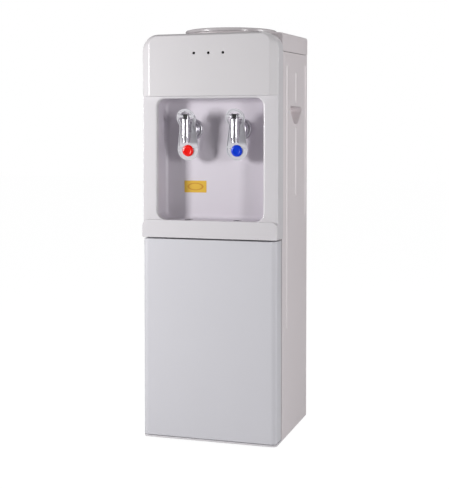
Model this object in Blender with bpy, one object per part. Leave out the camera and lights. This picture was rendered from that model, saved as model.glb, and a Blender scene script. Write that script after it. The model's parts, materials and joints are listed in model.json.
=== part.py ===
"""Free-standing water dispenser: two taps in an alcove over a storage cabinet, a bottle seat on top.

Metres, +Z up, front facing -Y. The origin is the centre of the footprint on the floor.
Depths are measured backwards from the front plane, heights upwards from the floor.
"""
import math

import bmesh
import bpy
from mathutils import Matrix, Vector

MM = 0.001

# Fits and fineness
GAP = 0.3 * MM            # touching pieces
SLIP = 0.6 * MM           # pieces that lift or slide past each other
WELD = 0.001 * MM
OVERRUN = 4 * MM          # how far a cut runs past the face it opens
ARC_STEPS = 5
ROUND_SEGMENTS = 32
FINE_SEGMENTS = 20
HOLE_SEGMENTS = 16

# Whole body
BODY_WIDTH = 310 * MM
BODY_DEPTH = 293 * MM
SHEET = 1.5 * MM          # steel panels
WALL = 3 * MM             # moulded shells

# Heights, floor upwards
FOOT_HEIGHT = 12 * MM
PLINTH_HEIGHT = 4 * MM
SILL_HEIGHT = 12 * MM
DOOR_GAP = 1 * MM
DOOR_HEIGHT = 444 * MM
DOOR_HEAD_GAP = 3 * MM
LEDGE_HEIGHT = 39.5 * MM
ALCOVE_HEIGHT = 275.5 * MM
HEAD_HEIGHT = 138 * MM
COVER_LIP = 41 * MM       # cover side wall at the front
COVER_STAND = 2 * MM      # cover above the fascia
COVER_RISE = 7 * MM       # slope of the cover, front to back
BOSS_STAND = 1 * MM       # collar seat above the back of the slope
COLLAR_STAND = 8 * MM

# Front fascia
FASCIA_SIDE_STEP = 2 * MM
FASCIA_DEPTH = 50 * MM
FASCIA_SETBACK = 8 * MM   # alcove frame behind the front plane
FASCIA_CORNER = 36 * MM
FASCIA_FOOT_CORNER = 3 * MM
HEAD_BEVEL = 17.5 * MM
HEAD_TOP_BEVEL = 4 * MM
HEAD_CORNER = 20 * MM
LEDGE_CORNER = 14 * MM
FRAME_BORDER = 21.5 * MM
FRAME_FILLET = 11 * MM
ALCOVE_CORNER = 10 * MM
ALCOVE_DEPTH = 62 * MM
ALCOVE_BACK_FILLET = 9 * MM
LINER_WALL = 2.5 * MM
LINER_FLANGE = 7 * MM

# Indicator lamps
LAMP_RADIUS = 3.1 * MM
LAMP_SPACING = 33.5 * MM
LAMP_DROP = 43.6 * MM     # below the top of the fascia
LAMP_FLANGE = 1.6 * MM
LAMP_BARREL = 4 * MM

# Side panels and hand grips
PANEL_GROOVE_DEPTH = 67 * MM
GROOVE_WIDTH = 1.6 * MM
GROOVE_CUT = 0.7 * MM
BEAD_RAISE = 1.8 * MM
BEAD_WIDTH = 15 * MM
BEAD_FRONT_DEPTH = 95 * MM
BEAD_REAR_INSET = 18 * MM  # from the back
BEAD_FRONT_FOOT = 254 * MM
BEAD_FRONT_DROP = 27 * MM  # top ends, below the cover
BEAD_MIDDLE_FOOT = 552 * MM
BEAD_MIDDLE_DROP = 39 * MM
BEAD_REAR_FOOT = 498 * MM
BEAD_REAR_DROP = 16 * MM
GRIP_CENTRE_DEPTH = 179 * MM
GRIP_DROP = 118 * MM      # below the cover
GRIP_HEIGHT = 42 * MM
GRIP_WIDTH = 104 * MM
GRIP_FOOT_WIDTH = 36 * MM
GRIP_CORNER = 9 * MM
GRIP_RECESS = 26 * MM
GRIP_WALL = 2 * MM
GRIP_MARGIN = 6 * MM      # bead ends stop short of the grip

# Rear panel
REAR_SETBACK = 2.5 * MM
VENT_WIDTH = 72 * MM
VENT_SLOT = 4 * MM
VENT_PITCH = 9 * MM
FAN_VENTS = 8
DECK_VENTS = 6
DECK_VENT_RISE = 56 * MM

# Base and feet
BASE_WALL = 3 * MM
FOOT_RADIUS = 14 * MM
FOOT_SIDE_INSET = 30 * MM
FOOT_FRONT_INSET = 58 * MM  # far enough back to stay out of sight
FOOT_REAR_INSET = 30 * MM
FOOT_PEG_RADIUS = 4 * MM
PEG_SHORTFALL = 0.6 * MM

# Cabinet
DECK_THICKNESS = 2 * MM
DECK_RISE = 4 * MM        # deck underside above the fascia's lower edge
DECK_FLANGE = 20 * MM
INNER_BACK_INSET = 19 * MM  # from the back
DOOR_SEAM = 3 * MM        # between the door and the body behind it
DOOR_CORNER = 12 * MM
DOOR_BACK_CORNER = 3 * MM
HINGE_FROM_SIDE = 8 * MM
HINGE_FROM_BACK = 7 * MM
HINGE_PIN_RADIUS = 2.5 * MM
HINGE_CLEARANCE = 0.3 * MM
HINGE_BOSS = 12 * MM
HINGE_BOSS_HEIGHT = 15 * MM
HINGE_PIN_GRIP = 10 * MM  # pin length inside the door
HINGE_COLLAR_RADIUS = 5 * MM
PIN_HEAD = 2 * MM
MAGNET_LENGTH = 34 * MM
MAGNET_HEIGHT = 12 * MM
MAGNET_FROM_SIDE = 30 * MM

# Drip tray
TRAY_HALF_WIDTH = 98 * MM
TRAY_FRONT = 8 * MM
TRAY_DEPTH = 40 * MM
TRAY_COVER = 4 * MM
TRAY_WALL = 2 * MM
TRAY_CORNER = 6 * MM
DRAIN_RADIUS = 11 * MM
DRAIN_DEPTH = 33 * MM

# Taps
TAP_SPACING = 114 * MM
TAP_AXIS_DEPTH = 14 * MM
TAP_NECK_DROP = 62 * MM   # below the alcove's top
BARREL_RADIUS = 10.5 * MM
BARREL_BELOW = 19 * MM    # barrel under the neck axis
BARREL_ABOVE = 23 * MM
NOZZLE_RADIUS = 9.3 * MM
NOZZLE_LENGTH = 11 * MM
BORE_RADIUS = 6.5 * MM
SEAT_RADIUS = 4.5 * MM
BARREL_CROWN = 7 * MM     # solid top over the bore
NECK_RADIUS = 7.2 * MM
NECK_BORE = 3.5 * MM
TAP_BODY_RADIUS = 17 * MM
TAP_BODY_LENGTH = 15 * MM
TAP_FLANGE_RADIUS = 24 * MM
TAP_FLANGE = 5 * MM
TAIL_RADIUS = 8 * MM
TAIL_LENGTH = 16 * MM
NUT_RADIUS = 15 * MM
NUT_THICKNESS = 6 * MM
EDGE_BREAK = 1 * MM
CHEEK_INNER = 4.7 * MM
CHEEK_THICKNESS = 2.9 * MM
CHEEK_RADIUS = 5.5 * MM
PIVOT_RISE = 29 * MM      # lever pivot over the neck axis
PIVOT_PIN_RADIUS = 1.5 * MM
PIVOT_PIN_HALF = 18.5 * MM
STEM_RADIUS = 2.4 * MM
STEM_SEAL_HEIGHT = 6 * MM
STEM_LIFT = 3 * MM
STEM_HEAD_HALF = 4.2 * MM
STEM_HEAD_RISE = 4.2 * MM # head over the pivot
SPRING_RADIUS = 4.4 * MM
SPRING_WIRE = 0.5 * MM
SPRING_TURNS = 6
SPRING_POINTS_PER_TURN = 10

# Tap levers
RING_RADIUS = 22 * MM
RING_HOLE = 16 * MM
RING_RISE = 23 * MM       # ring centre over the neck axis
LEVER_SLOT_HALF = 8.4 * MM
LEVER_SLOT_DROP = 12 * MM # slot end below the neck axis
WAIST_HALF = 13 * MM
WAIST_DROP = 3 * MM
PADDLE_RADIUS = 24.5 * MM
PADDLE_DROP = 45.5 * MM   # paddle centre below the neck axis
LEVER_THICKNESS = 3.5 * MM
LEVER_TOP_DEPTH = 6.5 * MM
LEVER_ELBOW_DEPTH = 25.5 * MM
LEVER_ELBOW_RISE = 5 * MM
LEVER_KNEE_DEPTH = 27.5 * MM
LEVER_KNEE_DROP = 16 * MM
LEVER_TIP_DEPTH = 31 * MM
LEVER_BOSS_RADIUS = 4 * MM
LEVER_BOSS_OUTER = 20.3 * MM
DOT_RADIUS = 13 * MM
DOT_THICKNESS = 1.4 * MM
DOT_DROP = 48 * MM

# Bottle seat
COLLAR_RADIUS = 107 * MM
COLLAR_SKIRT_RADIUS = 99.5 * MM
COLLAR_INNER = 93 * MM
COLLAR_DROP = 17 * MM     # skirt below its shoulder
COLLAR_LEDGE = 5 * MM
COLLAR_LEDGE_HEIGHT = 4 * MM
COLLAR_ROUND = 2.5 * MM
GUARD_RIM = 2.7 * MM
GUARD_THROAT = 30 * MM
GUARD_CONE_DROP = 24 * MM
GUARD_THROAT_DROP = 70 * MM
GUARD_PROBE_RADIUS = 8 * MM
GUARD_PROBE_HEIGHT = 46 * MM
GUARD_HOLE = 4 * MM
GUARD_HOLES = 4
GUARD_HOLE_CIRCLE = 19 * MM

# Tanks
TANK_ROOM = 28.5 * MM     # between the alcove and the foam, for nuts and hoses
COLD_TANK_RADIUS = 66 * MM
COLD_TANK_BODY = 146 * MM
COLD_TANK_SHOULDER = 6 * MM
COLD_TANK_NECK = 7 * MM
TANK_WALL = 2 * MM
NECK_PLAY = 2 * MM
NECK_LAP = 4.4 * MM       # of the tank's neck over the funnel's throat
FOAM = 13.7 * MM
SPIGOT_RADIUS = 4.5 * MM
SPIGOT_BORE = 3 * MM
SPIGOT_DROP = 22 * MM
COLD_OUTLET = (30 * MM, -23 * MM)   # from the tank's axis
BAFFLE_RISE = 80 * MM
BAFFLE_PLAY = 3 * MM
BAFFLE_STEM = 8 * MM
HOT_TANK_RADIUS = 50 * MM
HOT_TANK_ROOM = 57.7 * MM # over the hot tank, up to the cold tank's outlets
HOT_TANK_X = -40 * MM
HOT_OUTLET_FORWARD = 23 * MM
HOT_SPIGOT = 12 * MM
FEED_RISE = 20 * MM
HEATER_WIDTH = 40 * MM
HEATER_THICKNESS = 4 * MM
HEATER_RISE = 50 * MM
THERMOSTAT_RADIUS = 9 * MM
THERMOSTAT_LENGTH = 7.5 * MM
THERMOSTAT_DROP = 22 * MM # below the tank's top
BRACKET_THICKNESS = 1.7 * MM
BRACKET_FRONT = 110 * MM
BRACKET_REAR = 252 * MM
HOSE_RADIUS = 5 * MM

# Cooling set
BLOCK_SIDE = 40 * MM
SINK_SIDE = 80 * MM
SINK_BASE = 4 * MM
SINK_FIN = 11.5 * MM
SINK_FIN_WIDTH = 2 * MM
SINK_FINS = 9
FAN_DEPTH = 15 * MM
FAN_STANDOFF = 2.6 * MM   # off the rear panel
FAN_HOLE = 37 * MM
FAN_HUB = 13 * MM
FAN_HUB_WALL = 3 * MM
FAN_STRUT = 4 * MM
FAN_BLADE_TIP = 35 * MM
FAN_BLADE_CHORD = 13 * MM
FAN_BLADE_THICKNESS = 1.4 * MM
FAN_BLADES = 7
FAN_BLADE_PITCH = math.radians(35)
COOLING_RISE = 70 * MM    # block centre over the tank floor

# Power and switches
SUPPLY_SIZE = (78 * MM, 76 * MM, 38 * MM)
SUPPLY_X = 96 * MM
SUPPLY_INSET = 57 * MM    # its centre, from the back
SWITCH_WIDTH = 15 * MM
SWITCH_HEIGHT = 21 * MM
SWITCH_SPACING = 26 * MM
SWITCH_X = -100 * MM
SWITCH_DROP = 78 * MM     # below the cover
SWITCH_FRAME = 2 * MM
SWITCH_FLANGE = 1 * MM
SWITCH_BODY = 14 * MM
SWITCH_PLATE_MARGIN = 5 * MM
ROCKER_DEPTH = 7 * MM
ROCKER_ROOM = 1.4 * MM    # under the rocker's heel
ROCKER_TILT = math.radians(5)
INLET_WIDTH = 27 * MM
INLET_HEIGHT = 20 * MM
INLET_DEPTH = 16 * MM
INLET_CAVITY_DEPTH = 12 * MM
INLET_RISE = 70 * MM      # above the deck
INLET_PIN = (2 * MM, 4 * MM)

# Worked-out places
FRONT_Y = -BODY_DEPTH / 2
HALF_WIDTH = BODY_WIDTH / 2
INSIDE_HALF = HALF_WIDTH - SHEET - GAP
PLINTH_TOP = FOOT_HEIGHT + PLINTH_HEIGHT
DOOR_BOTTOM = PLINTH_TOP + DOOR_GAP
DOOR_TOP = DOOR_BOTTOM + DOOR_HEIGHT
FASCIA_BOTTOM = DOOR_TOP + DOOR_HEAD_GAP
LEDGE_TOP = FASCIA_BOTTOM + LEDGE_HEIGHT
HEAD_BOTTOM = LEDGE_TOP + ALCOVE_HEIGHT
FASCIA_TOP = HEAD_BOTTOM + HEAD_HEIGHT
ALCOVE_TOP = HEAD_BOTTOM - FRAME_FILLET
FASCIA_HALF = HALF_WIDTH + FASCIA_SIDE_STEP
FRAME_HALF = FASCIA_HALF - FRAME_BORDER
ALCOVE_HALF = FRAME_HALF - FRAME_FILLET
FRAME_REAR = FASCIA_SETBACK + FRAME_FILLET
BODY_FRONT = FASCIA_DEPTH + GAP
DOOR_DEPTH = BODY_FRONT - DOOR_SEAM
COVER_TOP_FRONT = FASCIA_TOP + COVER_STAND
COVER_TOP_REAR = COVER_TOP_FRONT + COVER_RISE
COVER_FOOT_FRONT = COVER_TOP_FRONT - COVER_LIP
BOSS_TOP = COVER_TOP_REAR + BOSS_STAND
COLLAR_TOP = BOSS_TOP + GAP + COLLAR_STAND
REAR_FACE = BODY_DEPTH - REAR_SETBACK
REAR_INNER = REAR_FACE - SHEET
DECK_UNDER = FASCIA_BOTTOM + DECK_RISE
DECK_TOP = DECK_UNDER + DECK_THICKNESS
HINGE_X = -HALF_WIDTH + HINGE_FROM_SIDE
HINGE_DEPTH = DOOR_DEPTH - HINGE_FROM_BACK
TAP_NECK_HEIGHT = ALCOVE_TOP - TAP_NECK_DROP
PIVOT_HEIGHT = TAP_NECK_HEIGHT + PIVOT_RISE
LEVER_BOSS_INNER = CHEEK_INNER + CHEEK_THICKNESS + GAP
TAP_BODY_DEPTH = ALCOVE_DEPTH - GAP - TAP_FLANGE - TAP_BODY_LENGTH
NOZZLE_TIP = TAP_NECK_HEIGHT - BARREL_BELOW - NOZZLE_LENGTH
BARREL_TOP = TAP_NECK_HEIGHT + BARREL_ABOVE
VALVE_SEAT = TAP_NECK_HEIGHT - BARREL_BELOW - STEM_LIFT
GRIP_TOP = COVER_FOOT_FRONT - GRIP_DROP
INNER_BACK_DEPTH = BODY_DEPTH - INNER_BACK_INSET
FOAM_RADIUS = COLD_TANK_RADIUS + GAP + FOAM
SEAT_CENTRE_DEPTH = ALCOVE_DEPTH + LINER_WALL + TANK_ROOM + FOAM_RADIUS
GUARD_RIM_FOOT = BOSS_TOP + GAP - COLLAR_DROP + COLLAR_LEDGE_HEIGHT + GAP
GUARD_THROAT_FOOT = GUARD_RIM_FOOT - GUARD_THROAT_DROP
COLD_TANK_FLOOR = GUARD_THROAT_FOOT + NECK_LAP - COLD_TANK_NECK - COLD_TANK_SHOULDER - COLD_TANK_BODY
HOT_TANK_HEIGHT = COLD_TANK_FLOOR - SPIGOT_DROP - HOT_TANK_ROOM - DECK_TOP - GAP
BRACKET_TOP = COLD_TANK_FLOOR - GAP - FOAM - GAP
BLOCK_FRONT = SEAT_CENTRE_DEPTH + COLD_TANK_RADIUS + GAP
FAN_FRONT = REAR_INNER - FAN_STANDOFF - FAN_DEPTH
SINK_FRONT = FAN_FRONT - GAP - SINK_FIN - SINK_BASE
COOLING_HEIGHT = COLD_TANK_FLOOR + COOLING_RISE
SWITCH_LEVEL = COVER_FOOT_FRONT - SWITCH_DROP
INLET_LEVEL = DECK_TOP + INLET_RISE


def behind(depth):
    """Y of a place that lies this far behind the front plane."""
    return FRONT_Y + depth


# Materials
def surface(name, colour, roughness, metallic=0.0):
    """A plain Principled material."""
    made = bpy.data.materials.new(name)
    made.use_nodes = True
    made.diffuse_color = (*colour, 1.0)
    shader = made.node_tree.nodes["Principled BSDF"]
    shader.inputs["Base Color"].default_value = (*colour, 1.0)
    shader.inputs["Roughness"].default_value = roughness
    shader.inputs["Metallic"].default_value = metallic
    return made


def make_materials():
    """Every finish of the object, by the name of what it is."""
    return {
        "shell": surface("white_abs", (0.66, 0.64, 0.66), 0.32),
        "panel": surface("painted_steel", (0.52, 0.50, 0.51), 0.4),
        "collar": surface("grey_abs", (0.36, 0.35, 0.36), 0.25),
        "liner": surface("alcove_abs", (0.6, 0.57, 0.61), 0.28),
        "chrome": surface("chromed_abs", (0.8, 0.8, 0.82), 0.08, 1.0),
        "lever": surface("lever_abs", (0.62, 0.61, 0.64), 0.3),
        "red": surface("red_cap", (0.75, 0.03, 0.02), 0.3),
        "blue": surface("blue_cap", (0.01, 0.07, 0.6), 0.3),
        "dark": surface("black_nylon", (0.03, 0.03, 0.03), 0.45),
        "rubber": surface("rubber", (0.05, 0.05, 0.05), 0.8),
        "zinc": surface("zinc_steel", (0.55, 0.56, 0.58), 0.35, 1.0),
        "inox": surface("stainless", (0.6, 0.6, 0.6), 0.25, 1.0),
        "aluminium": surface("aluminium", (0.7, 0.71, 0.72), 0.4, 1.0),
        "foam": surface("foam", (0.85, 0.83, 0.75), 0.9),
        "silicone": surface("silicone", (0.75, 0.76, 0.74), 0.5),
        "lens": surface("smoked_lens", (0.04, 0.03, 0.03), 0.15),
    }


# Drawing outlines
def arc(centre, radius, start, end, steps=ARC_STEPS):
    """Points on an arc, angles in degrees, both ends included."""
    points = []
    for step in range(steps + 1):
        angle = math.radians(start + (end - start) * step / steps)
        points.append((centre[0] + radius * math.cos(angle), centre[1] + radius * math.sin(angle)))
    return points


def rounded(low, high, foot_radius, top_radius, steps=ARC_STEPS):
    """A rectangle from its low to its high corner, rounded at the foot and at the top."""
    (x0, z0), (x1, z1) = low, high
    return (arc((x0 + foot_radius, z0 + foot_radius), foot_radius, 180, 270, steps)
            + arc((x1 - foot_radius, z0 + foot_radius), foot_radius, 270, 360, steps)
            + arc((x1 - top_radius, z1 - top_radius), top_radius, 0, 90, steps)
            + arc((x0 + top_radius, z1 - top_radius), top_radius, 90, 180, steps))


def circle(centre, radius, segments=ROUND_SEGMENTS):
    """A round outline."""
    return arc(centre, radius, 0, 360 - 360 / segments, segments - 1)


def window(margin, sill=0.0):
    """The alcove's opening, grown by a margin to the sides and top and by a sill below."""
    return rounded((-ALCOVE_HALF - margin, LEDGE_TOP - sill), (ALCOVE_HALF + margin, ALCOVE_TOP + margin),
                   ALCOVE_CORNER + margin, ALCOVE_CORNER + margin)


# Making solids
def add_object(name, bm):
    """Put a finished bmesh into the scene."""
    mesh = bpy.data.meshes.new(name)
    bmesh.ops.remove_doubles(bm, verts=bm.verts, dist=WELD)
    bmesh.ops.recalc_face_normals(bm, faces=bm.faces)
    bm.to_mesh(mesh)
    bm.free()
    made = bpy.data.objects.new(name, mesh)
    bpy.context.scene.collection.objects.link(made)
    return made


def loft(name, loops):
    """A closed solid through loops with the same number of points."""
    bm = bmesh.new()
    rings = [[bm.verts.new(point) for point in loop] for loop in loops]
    for lower, upper in zip(rings, rings[1:]):
        for index in range(len(lower)):
            follower = (index + 1) % len(lower)
            bm.faces.new((lower[index], lower[follower], upper[follower], upper[index]))
    bm.faces.new(rings[0])
    bm.faces.new(rings[-1])
    return add_object(name, bm)


def placed(outline, axis, level):
    """Put a flat outline at a level along an axis: X takes (y, z), Y takes (x, z), Z takes (x, y)."""
    if axis == "X":
        return [(level, a, b) for a, b in outline]
    if axis == "Y":
        return [(a, level, b) for a, b in outline]
    return [(a, b, level) for a, b in outline]


def prism(name, outline, axis, low, high):
    """An outline pushed along an axis."""
    return loft(name, [placed(outline, axis, low), placed(outline, axis, high)])


def slab(name, x_span, y_span, z_span):
    """A box from its three spans."""
    corners = [(x_span[0], y_span[0]), (x_span[1], y_span[0]), (x_span[1], y_span[1]), (x_span[0], y_span[1])]
    return prism(name, corners, "Z", z_span[0], z_span[1])


def turned(name, profile, axis, centre, segments=ROUND_SEGMENTS):
    """A solid of revolution. The profile is (radius, level along the axis); centre is the axis's place."""
    bm = bmesh.new()
    verts = [bm.verts.new((radius, 0, level)) for radius, level in profile]
    edges = [bm.edges.new(pair) for pair in zip(verts, verts[1:])]
    if profile[0][0] > 0 or profile[-1][0] > 0:
        edges.append(bm.edges.new((verts[-1], verts[0])))
    bmesh.ops.spin(bm, geom=verts + edges, cent=(0, 0, 0), axis=(0, 0, 1), dvec=(0, 0, 0),
                   angle=math.tau, steps=segments, use_merge=True, use_duplicate=False)
    if axis == "Y":
        turn = Matrix.Rotation(math.radians(-90), 4, "X")
    elif axis == "X":
        turn = Matrix.Rotation(math.radians(90), 4, "Y")
    else:
        turn = Matrix.Identity(4)
    bmesh.ops.transform(bm, matrix=Matrix.Translation(centre) @ turn, verts=bm.verts)
    return add_object(name, bm)


def rod(name, radius, axis, centre, low, high, segments=HOLE_SEGMENTS):
    """A plain round bar between two levels of its axis."""
    return turned(name, [(0, low), (radius, low), (radius, high), (0, high)], axis, centre, segments)


def apply_boolean(target, tool, operation):
    """Cut, join or intersect a solid with another one, which is used up."""
    step = target.modifiers.new("shape", "BOOLEAN")
    step.operation = operation
    step.object = tool
    bpy.context.view_layer.update()
    evaluated = target.evaluated_get(bpy.context.evaluated_depsgraph_get())
    result = bpy.data.meshes.new_from_object(evaluated)
    target.modifiers.clear()
    bm = bmesh.new()
    bm.from_mesh(result)
    bmesh.ops.remove_doubles(bm, verts=bm.verts, dist=WELD)
    bmesh.ops.dissolve_degenerate(bm, edges=bm.edges, dist=WELD)
    bm.to_mesh(result)
    bm.free()
    spent = target.data
    target.data = result
    bpy.data.meshes.remove(spent)
    bpy.data.objects.remove(tool)


def cut(target, *tools):
    """Take tools away from a solid."""
    for tool in tools:
        apply_boolean(target, tool, "DIFFERENCE")
    return target


def join(target, *tools):
    """Make one solid of several that overlap."""
    for tool in tools:
        apply_boolean(target, tool, "UNION")
    return target


def keep(target, tool):
    """Keep only what lies inside the tool."""
    apply_boolean(target, tool, "INTERSECT")
    return target


def smooth_path(points, per_span=3):
    """Points on a smooth curve through the given ones; the first and the last span stay straight."""
    given = [Vector(point) for point in points]
    route = [given[0]]
    for before, here, after, beyond in zip(given, given[1:], given[2:], given[3:]):
        for step in range(per_span):
            t = step / per_span
            route.append(0.5 * ((2 * here) + (after - before) * t
                                + (2 * before - 5 * here + 4 * after - beyond) * t ** 2
                                + (3 * here - before - 3 * after + beyond) * t ** 3))
    return route + given[-2:]


def tube(name, route, radius, fineness=2):
    """A round bar along a route."""
    curve = bpy.data.curves.new(name, "CURVE")
    curve.dimensions = "3D"
    curve.bevel_depth = radius
    curve.bevel_resolution = fineness
    curve.use_fill_caps = True
    curve.render_resolution_u = 0
    spline = curve.splines.new("POLY")
    spline.points.add(len(route) - 1)
    for point, place in zip(spline.points, route):
        point.co = (*place, 1.0)
    made = bpy.data.objects.new(name, curve)
    bpy.context.scene.collection.objects.link(made)
    return made


def dress(piece, material, parent=None):
    """Give a piece its finish, its smooth shading and the empty it turns or slides with."""
    piece.data.materials.clear()
    piece.data.materials.append(material)
    if piece.type == "MESH":
        piece.data.shade_smooth()
        piece.data.set_sharp_from_angle(angle=math.radians(35))
    if parent is not None:
        piece.parent = parent
        piece.matrix_parent_inverse = Matrix.Translation(-parent.location)
    return piece


def axis_empty(name, place):
    """An empty that marks a joint's axis and carries the pieces that move on it."""
    made = bpy.data.objects.new(name, None)
    made.location = place
    made.empty_display_size = FOOT_RADIUS
    bpy.context.scene.collection.objects.link(made)
    return made


# Base, feet and casing
def foot_places():
    """Names and centres of the four feet."""
    side = HALF_WIDTH - FOOT_SIDE_INSET
    front = behind(FOOT_FRONT_INSET)
    rear = behind(BODY_DEPTH - FOOT_REAR_INSET)
    return [("foot_front_left", -side, front), ("foot_front_right", side, front),
            ("foot_rear_left", -side, rear), ("foot_rear_right", side, rear)]


def make_base(finish):
    """The base tray under the cabinet, its lip showing under the door, on four feet."""
    base = slab("base_plate", (-INSIDE_HALF, INSIDE_HALF), (behind(BODY_FRONT), behind(REAR_INNER - GAP)),
                (FOOT_HEIGHT, PLINTH_TOP + SILL_HEIGHT))
    pocket = slab("pocket", (-INSIDE_HALF + BASE_WALL, INSIDE_HALF - BASE_WALL),
                  (behind(BODY_FRONT + BASE_WALL), behind(REAR_INNER - GAP - BASE_WALL)),
                  (PLINTH_TOP, PLINTH_TOP + SILL_HEIGHT + OVERRUN))
    cut(base, pocket)
    lip_side = HALF_WIDTH - DOOR_CORNER
    lip_plan = (arc((-lip_side, behind(DOOR_CORNER)), DOOR_CORNER, 180, 270)
                + arc((lip_side, behind(DOOR_CORNER)), DOOR_CORNER, 270, 360)
                + [(HALF_WIDTH, behind(FASCIA_DEPTH)), (-HALF_WIDTH, behind(FASCIA_DEPTH))])
    lip = prism("lip", lip_plan, "Z", FOOT_HEIGHT, PLINTH_TOP)
    bridge = slab("bridge", (-INSIDE_HALF + BASE_WALL, INSIDE_HALF - BASE_WALL),
                  (behind(FASCIA_DEPTH - OVERRUN), behind(BODY_FRONT + OVERRUN)), (FOOT_HEIGHT, PLINTH_TOP))
    join(base, lip, bridge)
    for name, x, y in foot_places():
        peg_hole = FOOT_PEG_RADIUS + GAP
        cut(base, rod("hole", peg_hole, "Z", (x, y, 0), FOOT_HEIGHT - OVERRUN, PLINTH_TOP + OVERRUN))
    cut(base, rod("hole", HINGE_PIN_RADIUS + GAP, "Z", (HINGE_X, behind(HINGE_DEPTH), 0),
                  FOOT_HEIGHT - OVERRUN, PLINTH_TOP + OVERRUN))
    dress(base, finish["shell"])
    for name, x, y in foot_places():
        peg_top = PLINTH_TOP - PEG_SHORTFALL
        tread = FOOT_HEIGHT - GAP
        profile = [(0, 0), (FOOT_RADIUS - EDGE_BREAK, 0), (FOOT_RADIUS, EDGE_BREAK),
                   (FOOT_RADIUS - EDGE_BREAK, tread), (FOOT_PEG_RADIUS, tread), (FOOT_PEG_RADIUS, peg_top),
                   (0, peg_top)]
        dress(turned(name, profile, "Z", (x, y, 0), FINE_SEGMENTS), finish["rubber"])


def grip_outline(shrink):
    """The hand grip in side view, as (y, z): wide flat top, sides tapering to a rounded foot."""
    centre = behind(GRIP_CENTRE_DEPTH)
    half = GRIP_WIDTH / 2 - shrink
    foot = GRIP_FOOT_WIDTH / 2 - shrink
    top = GRIP_TOP - shrink
    bottom = GRIP_TOP - GRIP_HEIGHT + shrink
    corner = GRIP_CORNER - shrink / 2
    rise = (top - bottom) / 2
    right = (arc((centre + foot, bottom + corner), corner, 270, 310, 3)
             + arc((centre + half - corner / 2, top - rise / 2), corner, 320, 360, 3)
             + [(centre + half, top)])
    left = [(2 * centre - y, z) for y, z in reversed(right)]
    return left + right


def bead(side, depth, low, high):
    """A raised rib pressed in a side panel, with round ends and broken edges."""
    radius = BEAD_WIDTH / 2
    centre = behind(depth)
    edge = BEAD_RAISE
    loops = []
    outer = HALF_WIDTH + BEAD_RAISE
    for level, inset in ((HALF_WIDTH - SHEET / 2, 0.0), (HALF_WIDTH, 0.0), (outer, edge * 2)):
        reach = radius - inset
        outline = (arc((centre, high - radius), reach, 0, 180, 6) + arc((centre, low + radius), reach, 180,
                                                                        360, 6))
        loops.append(placed(outline, "X", side * level))
    return loft("bead", loops)


def make_side_panel(name, side, finish):
    """A steel side panel with its pressed beads and the hole for the hand grip."""
    front = behind(BODY_FRONT)
    rear = behind(REAR_FACE)
    slope = COVER_RISE / (BODY_DEPTH - BODY_FRONT)
    top_front = COVER_FOOT_FRONT - GAP
    top_rear = top_front + slope * (REAR_FACE - BODY_FRONT)
    outline = [(front, FOOT_HEIGHT), (rear, FOOT_HEIGHT), (rear, top_rear), (front, top_front)]
    panel = prism(name, outline, "X", side * (HALF_WIDTH - SHEET), side * HALF_WIDTH)
    grip_foot = GRIP_TOP - GRIP_HEIGHT
    cover = COVER_FOOT_FRONT
    join(panel, bead(side, BEAD_FRONT_DEPTH, BEAD_FRONT_FOOT, cover - BEAD_FRONT_DROP),
         bead(side, BODY_DEPTH - BEAD_REAR_INSET, BEAD_REAR_FOOT, cover - BEAD_REAR_DROP),
         bead(side, GRIP_CENTRE_DEPTH, GRIP_TOP + GRIP_MARGIN, cover - BEAD_MIDDLE_DROP),
         bead(side, GRIP_CENTRE_DEPTH, BEAD_MIDDLE_FOOT, grip_foot - GRIP_MARGIN))
    groove = slab("groove", sorted((side * (HALF_WIDTH - GROOVE_CUT), side * (HALF_WIDTH + OVERRUN))),
                  (behind(PANEL_GROOVE_DEPTH), behind(PANEL_GROOVE_DEPTH + GROOVE_WIDTH)),
                  (FOOT_HEIGHT - OVERRUN, top_rear + OVERRUN))
    hole = prism("hole", grip_outline(0), "X", side * (HALF_WIDTH - SHEET - OVERRUN),
                 side * (HALF_WIDTH + OVERRUN))
    cut(panel, groove, hole)
    return dress(panel, finish["panel"])


def make_grip(name, side, finish):
    """The moulded cup that lines a hand grip."""
    mouth = HALF_WIDTH - GAP
    floor = HALF_WIDTH - GRIP_RECESS
    cup = prism(name, grip_outline(GAP), "X", side * (floor - GRIP_WALL), side * mouth)
    cut(cup, loft("hollow", [placed(grip_outline(GRIP_WALL + GRIP_WALL), "X", side * floor),
                             placed(grip_outline(GRIP_WALL), "X", side * (mouth + OVERRUN))]))
    return dress(cup, finish["shell"])


def vent_rows(rows, middle_x, low):
    """Level slots, one above the other, as tools through the rear panel."""
    tools = []
    for row in range(rows):
        foot = low + row * VENT_PITCH
        outline = rounded((middle_x - VENT_WIDTH / 2, foot), (middle_x + VENT_WIDTH / 2, foot + VENT_SLOT),
                          VENT_SLOT / 3, VENT_SLOT / 3, 2)
        tools.append(prism("slot", outline, "Y", behind(REAR_INNER - OVERRUN), behind(REAR_FACE + OVERRUN)))
    return tools


def switch_plate_outline(grow):
    """The switch plate's outline round both rocker switches, as (x, z)."""
    half_width = SWITCH_SPACING / 2 + SWITCH_WIDTH / 2 + SWITCH_PLATE_MARGIN + grow
    half_height = SWITCH_HEIGHT / 2 + SWITCH_PLATE_MARGIN + grow
    return rounded((SWITCH_X - half_width, SWITCH_LEVEL - half_height),
                   (SWITCH_X + half_width, SWITCH_LEVEL + half_height), SWITCH_FRAME, SWITCH_FRAME, 3)


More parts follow.
